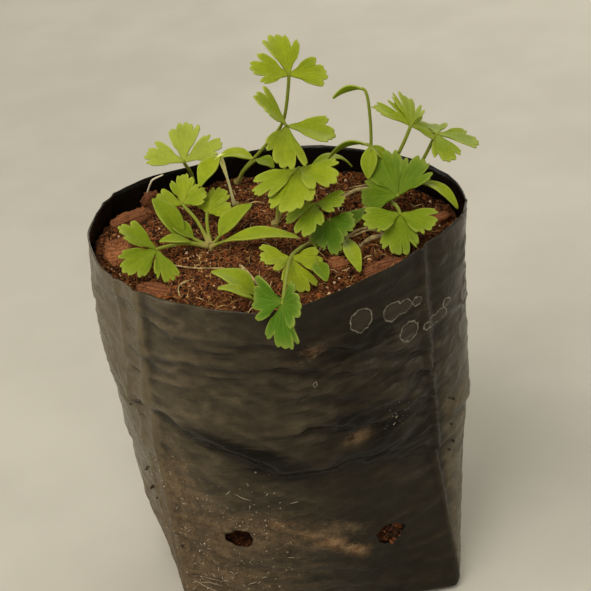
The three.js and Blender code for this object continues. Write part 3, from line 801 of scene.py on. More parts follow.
def film_finish():
    """Black polythene: satin gloss, a brown haze with painted sheen, painted shadows along the
    folds, dust in speckles, a rusty smear and the pale rims of dried drops. Dirt raises the
    roughness, and a fine crinkle is a bump."""
    material, tree, shader = new_finish("black_film", 0.3, Specular_IOR_Level=0.14)
    dust_zone, haze_and_sheen_zone, bare_and_shadow_zone, smear_zone, ledge, inner = painted(
        tree, "dust", "haze_and_sheen", "bare_and_shadow", "smear", "ledge", "inner")
    spot = object_place(tree)
    streaks = noise(object_place(tree, (1, 1, 2.8), (0, -0.3, 0)), 95, 7, 0.72)
    ragged = noise(object_place(tree, (0.55, 0.55, 3.6), (0, -0.2, 0)), 70, 6, 0.65)
    # Bare black film and painted fold shadows hold back the haze and the dust.
    bare_and_shaded = limited(bare_and_shadow_zone * (0.45 + 0.55 * ramp(ragged, 0.42, 0.53)))

    # The haze carries painted sheen. It fades where fold shadows are painted, and the slope shading
    # paints it lighter on lit slopes and darker in hollows.
    haze_and_sheen_amount = (haze_and_sheen_zone * (0.55 + 0.45 * ramp(streaks, 0.34, 0.64)) * (1 - bare_and_shaded)
            * (0.36 + 1.3 * ledge))
    haze_and_sheen, _ = mottle(spot, 75, *HAZE_AND_SHEEN_COLORS)
    color = mix(haze_and_sheen_amount, FILM_BLACK, haze_and_sheen)

    dusty = ramp(0.62 * dust_zone + 0.85 * streaks, 0.60, 0.98) * (1 - bare_and_shaded)
    dust, grain = mottle(spot, 330, *DUST_COLORS)
    color = mix(0.85 * dusty, color, dust)

    rust = smear_zone * ramp(streaks, 0.38, 0.60)
    rusty, _ = mottle(spot, 300, *RUST_COLORS)
    color = mix(0.85 * rust, color, rusty)

    flecks = ramp(noise(spot, 640, 5, 0.75), 0.60, 0.72) * ramp(dust_zone, 0.12, 0.85)
    color = mix(0.8 * flecks, color, FLECK_COLOR)

    rim, filled_in = drop_marks(spot)
    color = mix(0.28 * filled_in, color, DROP_FILL)
    color = mix(0.62 * rim, color, DROP_RIM)
    color = mix(inner, color, INSIDE_BLACK)

    dirt = 0.16 * haze_and_sheen_amount + maths("MAXIMUM", dusty, rust)
    gloss = limited(0.16 * streaks + 0.13 + 0.34 * dirt) * (1 - 0.6 * inner)
    connect(gloss, shader.inputs["Roughness"])
    crinkle = noise(object_place(tree, (1, 1, 2.2), (0, -0.25, 0)), 62, 5, 0.55)
    complete(shader, color, crinkle + 0.07 * grain + 0.06 * (rim + flecks), 0.4, 0.0015)
    return material


print("dried drops:", len(DROPS))


# %% The film with its drain holes
CUTTER_SIDES = 40
CUTTER_ENDS = (-70, -15)      # from before the front panel to inside the mix, along Y


def fans(row_start, pole, flip):
    """Triangles from a ring of points to the pole point that closes it."""
    ring = row_start + np.arange(AROUND)
    after = row_start + (np.arange(AROUND) + 1) % AROUND
    order = (after, ring) if flip else (ring, after)
    return np.stack([*order, np.full(AROUND, pole)], -1).tolist()


def closed_rings(rings):
    """Points and faces of a body that is made of rings. Each end is closed by a fan to the
    middle of its ring."""
    count = len(rings) * AROUND
    faces = grid_quads(len(rings), AROUND, wrap=True).tolist()
    faces += fans(0, count, True) + fans(count - AROUND, count + 1, False)
    return np.concatenate([rings.reshape(-1, 3), [rings[0].mean(0), rings[-1].mean(0)]]), faces


def drain_cutter(x, z, across, up):
    """A slightly ragged plug along Y through the front panel alone, as a closed tube."""
    angle = np.linspace(0, 2 * np.pi, CUTTER_SIDES, endpoint=False)
    ragged = 1 + 0.07 * np.sin(3 * angle + x) + 0.045 * np.sin(7 * angle + z)
    ring = np.stack([x + across * ragged * np.cos(angle), 0 * angle,
                     z + up * ragged * np.sin(angle)], -1)
    ends = [ring + [0, y, 0] for y in CUTTER_ENDS]
    near_end = list(range(CUTTER_SIDES))[::-1]
    far_end = list(range(CUTTER_SIDES, 2 * CUTTER_SIDES))
    faces = grid_quads(2, CUTTER_SIDES, wrap=True).tolist() + [near_end, far_end]
    cutter = add_piece("cutter", np.concatenate(ends), faces)
    fix_normals(cutter)
    return cutter


def fix_normals(piece):
    """Turns the faces outwards."""
    for each in bpy.context.selected_objects:
        each.select_set(False)
    bpy.context.view_layer.objects.active = piece
    piece.select_set(True)
    bpy.ops.object.mode_set(mode="EDIT")
    bpy.ops.mesh.select_all(action="SELECT")
    bpy.ops.mesh.normals_make_consistent(inside=False)
    bpy.ops.object.mode_set(mode="OBJECT")
    piece.select_set(False)


def applied(piece):
    """Replaces the mesh by what its modifiers make of it."""
    graph = bpy.context.evaluated_depsgraph_get()
    mesh = bpy.data.meshes.new_from_object(piece.evaluated_get(graph))
    piece.modifiers.clear()
    piece.data = mesh


def mesh_points(mesh):
    """The points of a mesh in millimetres."""
    flat = np.empty(len(mesh.vertices) * 3, np.float32)
    mesh.vertices.foreach_get("co", flat)
    return flat.reshape(-1, 3).astype(float) / MM


def make_bag():
    """The closed skin, less the two cutters, painted with its zones once the holes are in."""
    bag = add_piece("bag_film", *closed_rings(film_grid), film_finish(), film_values)
    cutters = [drain_cutter(*hole, *radii) for hole, radii in zip(DRAIN_HOLES, DRAIN_RADII)]
    for cutter in cutters:
        cut = bag.modifiers.new("hole", "BOOLEAN")
        cut.operation, cut.solver, cut.object = "DIFFERENCE", "EXACT", cutter
    applied(bag)
    for cutter in cutters:
        bpy.data.objects.remove(cutter)
    bag.data.shade_smooth()
    paint(bag.data, film_zones(mesh_points(bag.data)))
    return dress(bag, "film", "bag")


make_bag()

# %% [markdown]
# ## The potting mix
# The mix fills the bag to 8 mm below its rim. Its side is the film's own outline drawn in a
# little, creases included, so the film looks filled. Its top is a height over the ground: a few
# mounds and hollows, with crumbs as layered noise. Loose crumbs, flakes and fibres then lie on
# it as small shapes of their own, because a smooth height alone always looks like clay.

# %% Height of the mix
MOUNDS = np.array([            # x, y, height, reach
    [-42, 14, 1.6, 9], [-8, -14, -3.2, 6], [12, 2, -1.2, 6], [22, 26, 1.4, 10],
    [24, -18, 1.0, 9], [-24, -18, 0.8, 9]])
LUMPS = (6.5, 1.5, 41), (3.1, 1.0, 42), (1.5, 0.55, 43)      # width, height and seed
SIDE_RINGS, TOP_RINGS = 60, 118
BOTTOM_SHARES = 0.02, 0.35, 0.7, 0.975
POCKET_REACH, POCKET_DEPTH = (4.8, 4.3), 7.0
LOAM_COLORS = (0.016, 0.006, 0.003), (0.125, 0.038, 0.014)
COIR_COLORS = (0.21, 0.066, 0.020), (0.40, 0.17, 0.058)
POCKET_SHADE_COLOR = (0.004, 0.002, 0.001)


def ground(x, y):
    """Height of the mix without its crumbs: a level plus one bell for each mound."""
    mound_x, mound_y, tall, reach = MOUNDS.T
    away = ((x[..., None] - mound_x) ** 2 + (y[..., None] - mound_y) ** 2) / reach ** 2
    return SOIL_TOP + (tall * np.exp(-away)).sum(-1)


def crumbly(x, y):
    """The ground with crumbs: lumps of three widths, each |noise| turned upside down."""
    flat = np.stack([x, y, 0 * x], -1)
    lumps = sum(tall * (0.5 - np.abs(lattice_noise(flat, cell, seed)))
                for cell, tall, seed in LUMPS)
    return ground(x, y) + lumps - 0.1


def soil_mesh():
    """Rings from the middle of the bottom up the side, and over the crumbly top to its middle,
    and how far each point lies in the pocket that water has washed out behind the left hole."""
    wall_z = np.linspace(3, SOIL_TOP - 2, SIDE_RINGS)
    top_share = 1 - np.linspace(0, 0.99, TOP_RINGS) ** 0.92
    height = np.concatenate([[FILM_AND_GAP] * len(BOTTOM_SHARES), wall_z,
                             np.full(TOP_RINGS, SOIL_TOP)])
    share = np.concatenate([BOTTOM_SHARES, np.ones(SIDE_RINGS), top_share])
    turn = TURNS + np.zeros((len(height), 1))
    level = height[:, None] + np.zeros(AROUND)
    points, outward = drawn_in(turn, level, np.full(level.shape, FILM_AND_GAP))
    outside = points + outward * FILM_AND_GAP
    points += outward * crease_height(outside, turn, level)[..., None]
    shrink(points, share[:, None])
    top = points[-TOP_RINGS:]
    top[..., 2] = crumbly(top[..., 0], top[..., 1])
    hole_x, hole_z = DRAIN_HOLES[0]
    wide, high = POCKET_REACH
    pocket = np.exp(-(((points[..., 0] - hole_x) / wide) ** 4
                      + ((points[..., 2] - hole_z) / high) ** 4))
    pocket = np.where(points[..., 1] < -20, pocket, 0)
    points[..., 1] += POCKET_DEPTH * pocket
    return points, pocket


def soil_finish():
    """Damp coir and loam: red-brown, mottled with darker loam and lighter coir, quite rough.
    Painted shade makes the pocket behind the left hole almost black.
    """
    material, tree, shader = new_finish("coir_mix", 0.95, Specular_IOR_Level=0.15)
    spot = object_place(tree)
    dark, _ = mottle(spot, 420, *LOAM_COLORS)
    light, _ = mottle(spot, 1300, *COIR_COLORS)
    color = mix(ramp(noise(spot, 1500, 3, 0.6), 0.50, 0.66), dark, light)
    # Painted shade: the washed-out pocket is coloured almost black.
    color = mix(0.9 * painted(tree, "damp"), color, POCKET_SHADE_COLOR)
    complete(shader, color, noise(spot, 1100, 5, 0.7), 0.9, 0.0008)
    return material


def make_soil():
    """The filled form as one closed body. The pocket is painted dark, as shade."""
    rings, pocket = soil_mesh()
    damp = {"damp": np.append(pocket.ravel(), [0, 0])}
    soil = add_piece("potting_mix", *closed_rings(rings), soil_finish(), damp)
    return dress(soil, "coir", "soil")


make_soil()

# %% [markdown]
# ## Crumbs, flakes and fibres
# Thousands of small things only need a few faces each. A crumb is a twelve-cornered ball that is
# squeezed and turned at random. A fibre is a thin bent strand with three sides. One seeded
# generator draws all of their numbers, so they lie in the same places each time.

# %% Places on the mix
SEED = 2024
chance = np.random.default_rng(SEED)


def spots_on_mix(count, most=0.97):
    """Random places on the ground, evenly spread: the share of the way out is a square root."""
    turn = chance.uniform(0, 4, count)
    share = np.sqrt(chance.uniform(0, most ** 2, count))
    one_ring = np.ones((1, AROUND))
    rim, _ = drawn_in(TURNS[None], SOIL_TOP * one_ring, FILM_AND_GAP * one_ring)
    edge = rim[0][(turn / 4 * AROUND).astype(int)]
    centre = rim[0].mean(0)
    flat = centre + (edge - centre) * share[:, None]
    return flat[:, 0], flat[:, 1]


def random_turns(count):
    """Rotation matrices from normally distributed quaternions of length 1."""
    w, x, y, z = unit(chance.normal(size=(count, 4))).T
    return np.stack([
        np.stack([1 - 2 * (y * y + z * z), 2 * (x * y - z * w), 2 * (x * z + y * w)], -1),
        np.stack([2 * (x * y + z * w), 1 - 2 * (x * x + z * z), 2 * (y * z - x * w)], -1),
        np.stack([2 * (x * z - y * w), 2 * (y * z + x * w), 1 - 2 * (x * x + y * y)], -1)], -2)


print("seed of the crumbs and fibres:", SEED)


# %% Crumbs
GOLDEN = (1 + math.sqrt(5)) / 2
BALL_CORNERS = unit(np.array([
    [-1, GOLDEN, 0], [1, GOLDEN, 0], [-1, -GOLDEN, 0], [1, -GOLDEN, 0],
    [0, -1, GOLDEN], [0, 1, GOLDEN], [0, -1, -GOLDEN], [0, 1, -GOLDEN],
    [GOLDEN, 0, -1], [GOLDEN, 0, 1], [-GOLDEN, 0, -1], [-GOLDEN, 0, 1]]))
BALL_FACES = np.array([
    [0, 11, 5], [0, 5, 1], [0, 1, 7], [0, 7, 10], [0, 10, 11], [1, 5, 9], [5, 11, 4],
    [11, 10, 2], [10, 7, 6], [7, 1, 8], [3, 9, 4], [3, 4, 2], [3, 2, 6], [3, 6, 8], [3, 8, 9],
    [4, 9, 5], [2, 4, 11], [6, 2, 10], [8, 6, 7], [9, 8, 1]])


def crumbs(centre, size_range, flatness, tones=(0, 1)):
    """Squeezed balls at the given places: their points, faces and a tone from 0 to 1 each."""
    count = len(centre)
    low, high = size_range
    radius = low * (high / low) ** (chance.uniform(0, 1, count) ** 2.2)
    squeeze = np.stack([chance.uniform(0.8, 1.5, count), chance.uniform(0.6, 1.0, count),
                        flatness * chance.uniform(0.7, 1.1, count)], -1) * radius[:, None]
    knocked = BALL_CORNERS * chance.uniform(0.78, 1.15, (count, 12, 1)) * squeeze[:, None]
    turned = np.einsum("nij,nkj->nki", random_turns(count), knocked)
    points = turned + centre[:, None]
    faces = BALL_FACES + 12 * np.arange(count)[:, None, None]
    tone = np.repeat(chance.uniform(*tones, count), 12)
    return points.reshape(-1, 3), faces.reshape(-1, 3), {"tone": tone}


def on_the_mix(count, lift):
    """Places of crumbs on the ground."""
    x, y = spots_on_mix(count)
    return np.stack([x, y, crumbly(x, y) + lift], -1)


def on_the_film(turn, z, lift=0.1):
    """Places on the outside of the film, creases included."""
    turn, z = np.atleast_2d(turn).astype(float), np.atleast_2d(z).astype(float)
    points, outward = wall_points(turn, z)
    return (points + outward * lift)[0]


def loose_finish(name, colors, bump_scale):
    """A colour for each crumb or fibre: its own tone picks between four colours."""
    dark, middle, light, palest_color = colors
    material, tree, shader = new_finish(name, 0.85, Specular_IOR_Level=0.2)
    tone = painted(tree, "tone")
    grain = noise(object_place(tree), bump_scale, 3)
    color = mix(ramp(tone, 0.25, 0.62), dark, middle)
    color = mix(ramp(tone, 0.82, 0.94), color, light)
    color = mix(0.4 * grain, color, dark)
    color = mix(ramp(tone, 0.955, 0.97), color, palest_color)
    complete(shader, color, grain, 0.5, 0.0003)
    return material


# Colours from the darkest tone to the palest; the palest is for the few crumbs and fibres of the
# highest tone.
CRUMB_COLORS = (0.020, 0.007, 0.003), (0.34, 0.105, 0.028), (0.60, 0.33, 0.12), (0.82, 0.56, 0.38)
FIBRE_COLORS = (0.09, 0.032, 0.011), (0.36, 0.140, 0.042), (0.62, 0.40, 0.13), (0.80, 0.60, 0.30)
SPECK_COLORS = (0.030, 0.018, 0.010), (0.30, 0.23, 0.15), (0.56, 0.48, 0.37), (0.60, 0.52, 0.40)
# How many there are, their least and greatest radius in millimetres, and how flat they are.
CRUMBS = 8200, (0.16, 0.62), 0.9
FLAKES = 900, (0.45, 1.2), 0.35
PLUG_CRUMBS = 90, (0.25, 0.8), 0.9
PLUG_RADIUS, PLUG_Y = 2.9, -35.2


def make_crumbs():
    """Fine crumbs and flakes on the mix, and a plug of them in the right drain hole. The plug's
    crumbs are spread evenly over its disc by the square root of a random share."""
    x, z = DRAIN_HOLES[1]
    count, sizes, flatness = PLUG_CRUMBS
    away, way = PLUG_RADIUS * np.sqrt(chance.uniform(0, 1, count)), chance.uniform(0, 6.28, count)
    plug = np.stack([x + away * np.cos(way), PLUG_Y + chance.uniform(-0.3, 0.9, count),
                     z + 0.8 * away * np.sin(way)], -1)
    points, faces, values = joined([
        crumbs(on_the_mix(CRUMBS[0], 0.08), *CRUMBS[1:]),
        crumbs(on_the_mix(FLAKES[0], 0.2), *FLAKES[1:], (0, 0.85)),
        crumbs(plug, sizes, flatness, (0, 0.48))])
    finish = loose_finish("coir_crumbs", CRUMB_COLORS, 1800)
    return dress(add_piece("coir_crumbs", points, faces, finish, values), "coir")


make_crumbs()

# %% Fibres
FIBRES = 3400
FIBRE_STEPS = 7
FIBRE_LENGTHS = 1.2, 5.5
FIBRE_MIDDLE, FIBRE_REACH = (0, 1.0), (44, 36)      # an ellipse that keeps them off the film


def tubes(paths, radii, sides):
    """Many thin tubes at once from (count, steps, 3) paths and (count, steps) radii. Each ring
    stands on two ways square to the path, and both ends are closed by a flat cap."""
    count, steps, _ = paths.shape
    along = unit(np.gradient(paths, axis=1))
    helper = np.where(np.abs(along[..., 2:]) < 0.8, np.array([0, 0, 1.0]), np.array([1.0, 0, 0]))
    side = unit(np.cross(helper, along))
    other = np.cross(along, side)
    angle = np.arange(sides) / sides * 2 * np.pi
    ring = np.cos(angle)[:, None] * side[:, :, None] + np.sin(angle)[:, None] * other[:, :, None]
    points = paths[:, :, None] + ring * radii[:, :, None, None]
    per = steps * sides
    first = per * np.arange(count)[:, None]
    quads = (grid_quads(steps, sides, wrap=True) + first[..., None]).reshape(-1, 4)
    start = first + np.arange(sides)[::-1]
    end = first + per - sides + np.arange(sides)
    return points.reshape(-1, 3), quads.tolist() + start.tolist() + end.tolist(), per


def fibre_paths():
    """Strands that lie on the ground: a random heading that turns evenly, and a slight arch."""
    x, y = spots_on_mix(FIBRES, 0.93)
    heading = chance.uniform(0, 2 * np.pi, FIBRES)[:, None]
    bend = chance.normal(0, 0.7, FIBRES)[:, None]
    step = chance.uniform(*FIBRE_LENGTHS, FIBRES)[:, None] / FIBRE_STEPS
    s = np.linspace(0, 1, FIBRE_STEPS)[None]
    way = heading + bend * s
    px = x[:, None] + np.cumsum(np.cos(way) * step, 1)
    py = y[:, None] + np.cumsum(np.sin(way) * step, 1)
    arch = chance.uniform(0.1, 1.3, FIBRES)[:, None] * np.sin(np.pi * s)
    tilt = chance.normal(0, 0.8, FIBRES)[:, None] * (s - 0.5)
    return np.stack([px, py, ground(px, py) + 0.6 + 0.8 * arch + tilt], -1)


def make_fibres():
    """The strands that stay inside the ellipse, thin at both ends. Most are fine, because the
    random share that sets the radius is raised to a power of 1.8."""
    paths = fibre_paths()
    off = (paths[..., :2] - FIBRE_MIDDLE) / FIBRE_REACH
    paths = paths[(np.hypot(off[..., 0], off[..., 1]) < 1).all(1)]
    radius = 0.04 + 0.15 * chance.uniform(0, 1, len(paths))[:, None] ** 1.8
    taper = np.sin(np.pi * np.linspace(0.12, 0.88, FIBRE_STEPS))[None]
    points, faces, per = tubes(paths, radius * taper, 3)
    tone = np.repeat(chance.uniform(0.2, 1, len(paths)), per)
    finish = loose_finish("coir_fibre", FIBRE_COLORS, 900)
    return dress(add_piece("coir_fibres", points, faces, finish, {"tone": tone}), "coir")


make_fibres()

# %% [markdown]
# ## Specks on the film
# A bag that has stood in the open is never only black. Mix clings to it, splashed up by watering,
# and the sharpest small folds wear pale. These are real little bodies, because a speck that is
# only painted on throws no shadow and vanishes at the outline.

# %% Specks, bits of fibre and worn edges
SPLASHED, WASHED_OUT, RUBBED, BITS = 200, 90, 26, 90
# Dark grains on the left and right outline of the bag, as turn and height.
GRAINS = np.array([[3.86, 46], [3.84, 44.5], [3.87, 40], [3.85, 38.8], [3.9, 37.5], [3.84, 66],
                   [1.12, 58], [1.15, 56.5], [1.13, 49], [1.16, 42], [1.12, 40.8], [0.02, 26]])
# Pale worn edges of small folds, as lines of (turn, height).
WORN_EDGES = [
    [(0.02, 15.2), (0.07, 15.9), (0.12, 15.6), (0.17, 14.1), (0.22, 11.6)],
    [(0.02, 14.6), (0.06, 12.9), (0.11, 11.4), (0.16, 10.6)],
    [(0.04, 13.4), (0.09, 14.2), (0.14, 13.6)],
    [(-0.04, 74), (-0.01, 71.5), (0.02, 70.8)],
    [(0.3, 50.5), (0.33, 49), (0.35, 48.6)],
]
LINE_RADIUS, LINE_TONE = 0.10, 0.93


def film_lines(lines, steps):
    """Thin tubes that lie on the film along lines of (turn, height), pointed at both ends."""
    t = np.linspace(0, 1, steps)
    paths = []
    for line in lines:
        turn, height = np.asarray(line, float).T
        corners = np.linspace(0, 1, len(turn))
        paths.append(on_the_film(np.interp(t, corners, turn), np.interp(t, corners, height), 0.03))
    taper = np.sin(np.pi * np.linspace(0.06, 0.94, steps))
    return tubes(np.array(paths), LINE_RADIUS * np.tile(taper, (len(paths), 1)), 3)


def clear_of_holes(places):
    """Only those places on the film that aren't over a drain hole."""
    for (x, z), (across, up) in zip(DRAIN_HOLES, DRAIN_RADII):
        off = np.hypot((places[:, 0] - x) / (across + 0.9), (places[:, 2] - z) / (up + 0.9))
        places = places[(off > 1) | (places[:, 1] > 0)]
    return places


def make_specks():
    """Specks of the mix that cling to the film: flecks low on its left and round the left drain
    hole, where water has washed them out, short bits of fibre, a few dark grains on its outline,
    and the pale worn edges of small folds."""
    low = on_the_film(chance.uniform(-0.08, 0.45, SPLASHED),
                      6 + 52 * chance.uniform(0, 1, SPLASHED) ** 1.3)
    around = chance.normal(0, 1, (WASHED_OUT, 2))
    washed = on_the_film(0.31 + 0.07 * around[:, 0], 37 + 4.5 * around[:, 1])
    high = on_the_film(*chance.normal((0.885, 63.5), (0.022, 1.7), (RUBBED, 2)).T)
    points, triangles, values = joined([
        crumbs(clear_of_holes(low), (0.10, 0.42), 0.5, (0.6, 1)),
        crumbs(clear_of_holes(washed), (0.11, 0.5), 0.5, (0.7, 1)),
        crumbs(high, (0.07, 0.26), 0.6, (0.9, 1)),
        crumbs(on_the_film(*GRAINS.T, 0.3), (0.3, 0.75), 0.9, (0, 0.2))])
    turn, height = chance.uniform(-0.05, 0.5, BITS), 8 + 46 * chance.uniform(0, 1, BITS) ** 1.2
    starts = np.stack([turn, height], -1)
    ends = np.stack([turn + chance.normal(0, 0.012, BITS),
                     height + chance.normal(0, 0.7, BITS)], -1)
    beside = np.hypot(turn - 0.22, (height - DRAIN_HOLES[0][1]) / PANEL_WIDTH) > 0.09
    bits = np.stack([starts, ends], 1)[beside]
    faces, tone = triangles.tolist(), values["tone"]
    for tube_points, tube_faces, _ in (film_lines(bits, 5), film_lines(WORN_EDGES, 24)):
        faces += [[i + len(points) for i in face] for face in tube_faces]
        points = np.concatenate([points, tube_points])
        tone = np.append(tone, np.full(len(tube_points), LINE_TONE))
    finish = loose_finish("film_specks", SPECK_COLORS, 1800)
    return dress(add_piece("film_specks", points, faces, finish, {"tone": tone}), "coir")


make_specks()

# %% [markdown]
# ## Chips of coconut husk
# A chip is torn husk: roughly a block, with fibres that all run one way. Its form is a ball
# pushed towards a box, because each direction's parts are raised to a power below one. Ridges
# along its length come from noise that is stretched that way.

# %% Chips
# Middle, size and turn about X, Y and Z in degrees, as the solids have them; then a tone.
CHIPS = [
    ((-39.5, 22, 101.5), (13, 4.5, 4.5), (10, 6, 38), 0.45),
    ((-42.5, 4.5, 101), (7, 12, 6), (4, -8, 8), 0.85),
    ((-33.5, 31, 102.5), (5.5, 3, 6), (20, 30, 20), 0.25),
    ((-33.5, -17, 100.4), (10, 4.5, 3), (8, 6, -25), 0.5),
    ((26, -19.6, 100.1), (13, 7, 3.6), (-6, 4, 22), 0.35),
    ((43, 3, 101), (5.5, 5, 4.6), (12, 10, 40), 0.9),
    ((14.6, -15.5, 100.3), (4.5, 4.5, 4), (15, 12, 30), 0.75),
]


def turned(points, degrees):
    """Points turned about X, then Y, then Z."""
    a, b, c = np.radians(degrees)
    about_x = np.array([[1, 0, 0], [0, math.cos(a), -math.sin(a)], [0, math.sin(a), math.cos(a)]])
    about_y = np.array([[math.cos(b), 0, math.sin(b)], [0, 1, 0], [-math.sin(b), 0, math.cos(b)]])
    about_z = np.array([[math.cos(c), -math.sin(c), 0], [math.sin(c), math.cos(c), 0], [0, 0, 1]])
    return points @ (about_z @ about_y @ about_x).T


CHIP_RINGS, CHIP_AROUND = 56, 96
SQUARENESS = 0.6              # the power that turns a ball into a box; 1 leaves it a ball
GRAIN_STRETCH = 0.22          # how much the noise is drawn out along the fibres
CLINGING = 4.5                # crumbs on a chip for each millimetre of its three sizes


def chip_mesh(middle, size, degrees, seed):
    """A grid over a ball from pole to pole. Each direction's parts go to the power SQUARENESS.
    Then it is torn: 1 mm steps of noise break it into layers, and ridges of 0.3 mm run along
    its longest way. Gives the grid, and a number that changes only across the fibres."""
    share = np.linspace(0, 1, CHIP_RINGS)[:, None] + np.zeros(CHIP_AROUND)
    down = np.pi * (0.004 + 0.992 * share)
    turn = 2 * np.pi * np.arange(CHIP_AROUND) / CHIP_AROUND + 0 * share
    ball = np.stack([np.sin(down) * np.cos(turn), np.sin(down) * np.sin(turn), np.cos(down)], -1)
    box = np.sign(ball) * np.abs(ball) ** SQUARENESS * np.array(size) / 2
    stretch = np.where(np.arange(3) == np.argmax(size), GRAIN_STRETCH, 1.0)
    local = box * stretch + seed * 17
    broken = layered_noise(box * stretch ** 0.5 + seed * 9, 3.2, 2, seed)
    steps = 0.5 * (np.round(broken * 3.5) / 3.5 + broken)
    rough = 1.05 * steps + 0.34 * layered_noise(local, 1.1, 3, seed) - 0.15
    ragged = box * (1 + (rough / np.linalg.norm(box, axis=-1).clip(1.2))[..., None])
    return turned(ragged, degrees) + np.array(middle), local[..., 1] + local[..., 2]


print("chips:", len(CHIPS), "and the longest is", max(size[0] for _, size, *_ in CHIPS), "mm")


# %% Finish of the chips, and the chips
HUSK_DARK = (0.060, 0.018, 0.008), (0.15, 0.048, 0.018)      # for the darkest and palest chip
HUSK_LIGHT = (0.26, 0.10, 0.050), (0.46, 0.18, 0.070)


def husk_finish():
    """Torn coconut husk: streaks of orange-brown and dark brown along the fibres."""
    material, tree, shader = new_finish("husk", 0.9, Specular_IOR_Level=0.15)
    spot = object_place(tree)
    tone, grain = painted(tree, "tone", "grain")
    streak = noise(worked_out("ShaderNodeCombineXYZ", {0: grain, 1: tone}), 2.2, 5, 0.7)
    color = mix(ramp(streak, 0.34, 0.62), mix(tone, *HUSK_DARK), mix(tone, *HUSK_LIGHT))
    specks, _ = mottle(spot, 700, (0.55, 0.55, 0.55), (1, 1, 1))
    color = mix(0.75, color, specks, blend="MULTIPLY")
    complete(shader, color, streak + noise(spot, 1500, 3), 0.8, 0.0005)
    return material


HUSK = husk_finish()


def make_chip(number, middle, size, degrees, tone):
    """The torn block, with crumbs of itself clinging all over it."""
    grid, grain = chip_mesh(middle, size, degrees, number)
    flat = grid.reshape(-1, 3)
    last = len(flat) - CHIP_AROUND
    picked = chance.integers(2 * CHIP_AROUND, last - CHIP_AROUND, int(CLINGING * sum(size)))
    small, triangles, values = crumbs(flat[picked], (0.16, 0.6), 0.8)
    ends = [list(range(CHIP_AROUND)), list(range(last, len(flat)))[::-1]]
    faces = grid_quads(CHIP_RINGS, CHIP_AROUND, wrap=True)[:, ::-1].tolist() + ends
    faces += (triangles + len(flat)).tolist()
    small_tone = np.clip(tone + 0.5 * (values["tone"] - 0.4), 0, 1)
    values = {"tone": np.append(np.full(len(flat), tone), small_tone),
              "grain": np.append(grain, 0.9 * small[:, 0])}
    piece = add_piece(f"husk_piece_{number}", np.concatenate([flat, small]), faces, HUSK, values)
    return dress(piece, "husk", f"husk_chip_{number}")


for number, chip in enumerate(CHIPS, 1):
    make_chip(number, *chip)

# %% [markdown]
# ## Stalks
# A stalk follows a smooth curve through a few points. The curve is a centripetal Catmull-Rom
# spline: it passes through each point, and its speed there depends on the square root of the
# distances to its neighbours, which keeps it free of loops. A tube of eight sides is drawn along
# it, thicker at its foot than at its leaf.

# %% Smooth paths and round stalks
SIDES = 8
CAP = np.array([[0, 1, 2, 7], [7, 2, 3, 6], [6, 3, 4, 5]])      # four-sided faces that close it


def smooth_path(points, steps):
    """`steps` points for each piece between two of the given points, and the last point. Each
    piece is a cubic from its two ends and the ways in which the curve leaves and arrives."""
    points = np.asarray(points, float)
    padded = np.concatenate([[2 * points[0] - points[1]], points, [2 * points[-1] - points[-2]]])
    gaps = np.linalg.norm(np.diff(padded, axis=0), axis=1) ** 0.5
    t = np.linspace(0, 1, steps, endpoint=False)[:, None]
    pieces = []
    for a, b, c, d, before, here, after in zip(
            padded, padded[1:], padded[2:], padded[3:], gaps, gaps[1:], gaps[2:]):
        leave = here * ((b - a) / before - (c - a) / (before + here) + (c - b) / here)
        arrive = here * ((c - b) / here - (d - b) / (here + after) + (d - c) / after)
        pieces.append((2 * t ** 3 - 3 * t ** 2 + 1) * b + (t ** 3 - 2 * t ** 2 + t) * leave
                      + (3 * t ** 2 - 2 * t ** 3) * c + (t ** 3 - t ** 2) * arrive)
    return np.concatenate(pieces + [points[-1:]])


def stem(path, radii, values):
    """A closed eight-sided tube. Its sides start from the level way square to the whole path.
    A value of None becomes the share of the way along the path."""
    along = unit(np.gradient(path, axis=0))
    level = unit(np.cross(path[-1] - path[0], [0, 0, 1.0]) + np.array([1e-6, 0, 0]))
    side = unit(level - along * (along @ level)[:, None])
    other = np.cross(along, side)
    angle = np.arange(SIDES) * 2 * np.pi / SIDES
    rings = path[:, None] + radii[:, None, None] * (
        np.cos(angle)[:, None] * side[:, None] + np.sin(angle)[:, None] * other[:, None])
    last = (len(path) - 1) * SIDES
    quads = np.concatenate([grid_quads(len(path), SIDES, wrap=True), CAP[:, ::-1], CAP + last])
    share = np.repeat(np.linspace(0, 1, len(path)), SIDES)
    every = {key: share if value is None else np.full(len(share), float(value))
             for key, value in values.items()}
    return rings.reshape(-1, 3), quads, every


bend = smooth_path([(0, 0, 0), (0, 0, 10), (6, 0, 14)], 12)
print("a path through 3 points has", len(bend), "points and ends at", bend[-1].tolist())

# %% [markdown]
# ## Dry stalks and threads
# Old stalks and threads of husk lie on the mix. They are the same kind of tube, but dry: buff,
# wrinkled, and a little uneven in thickness.

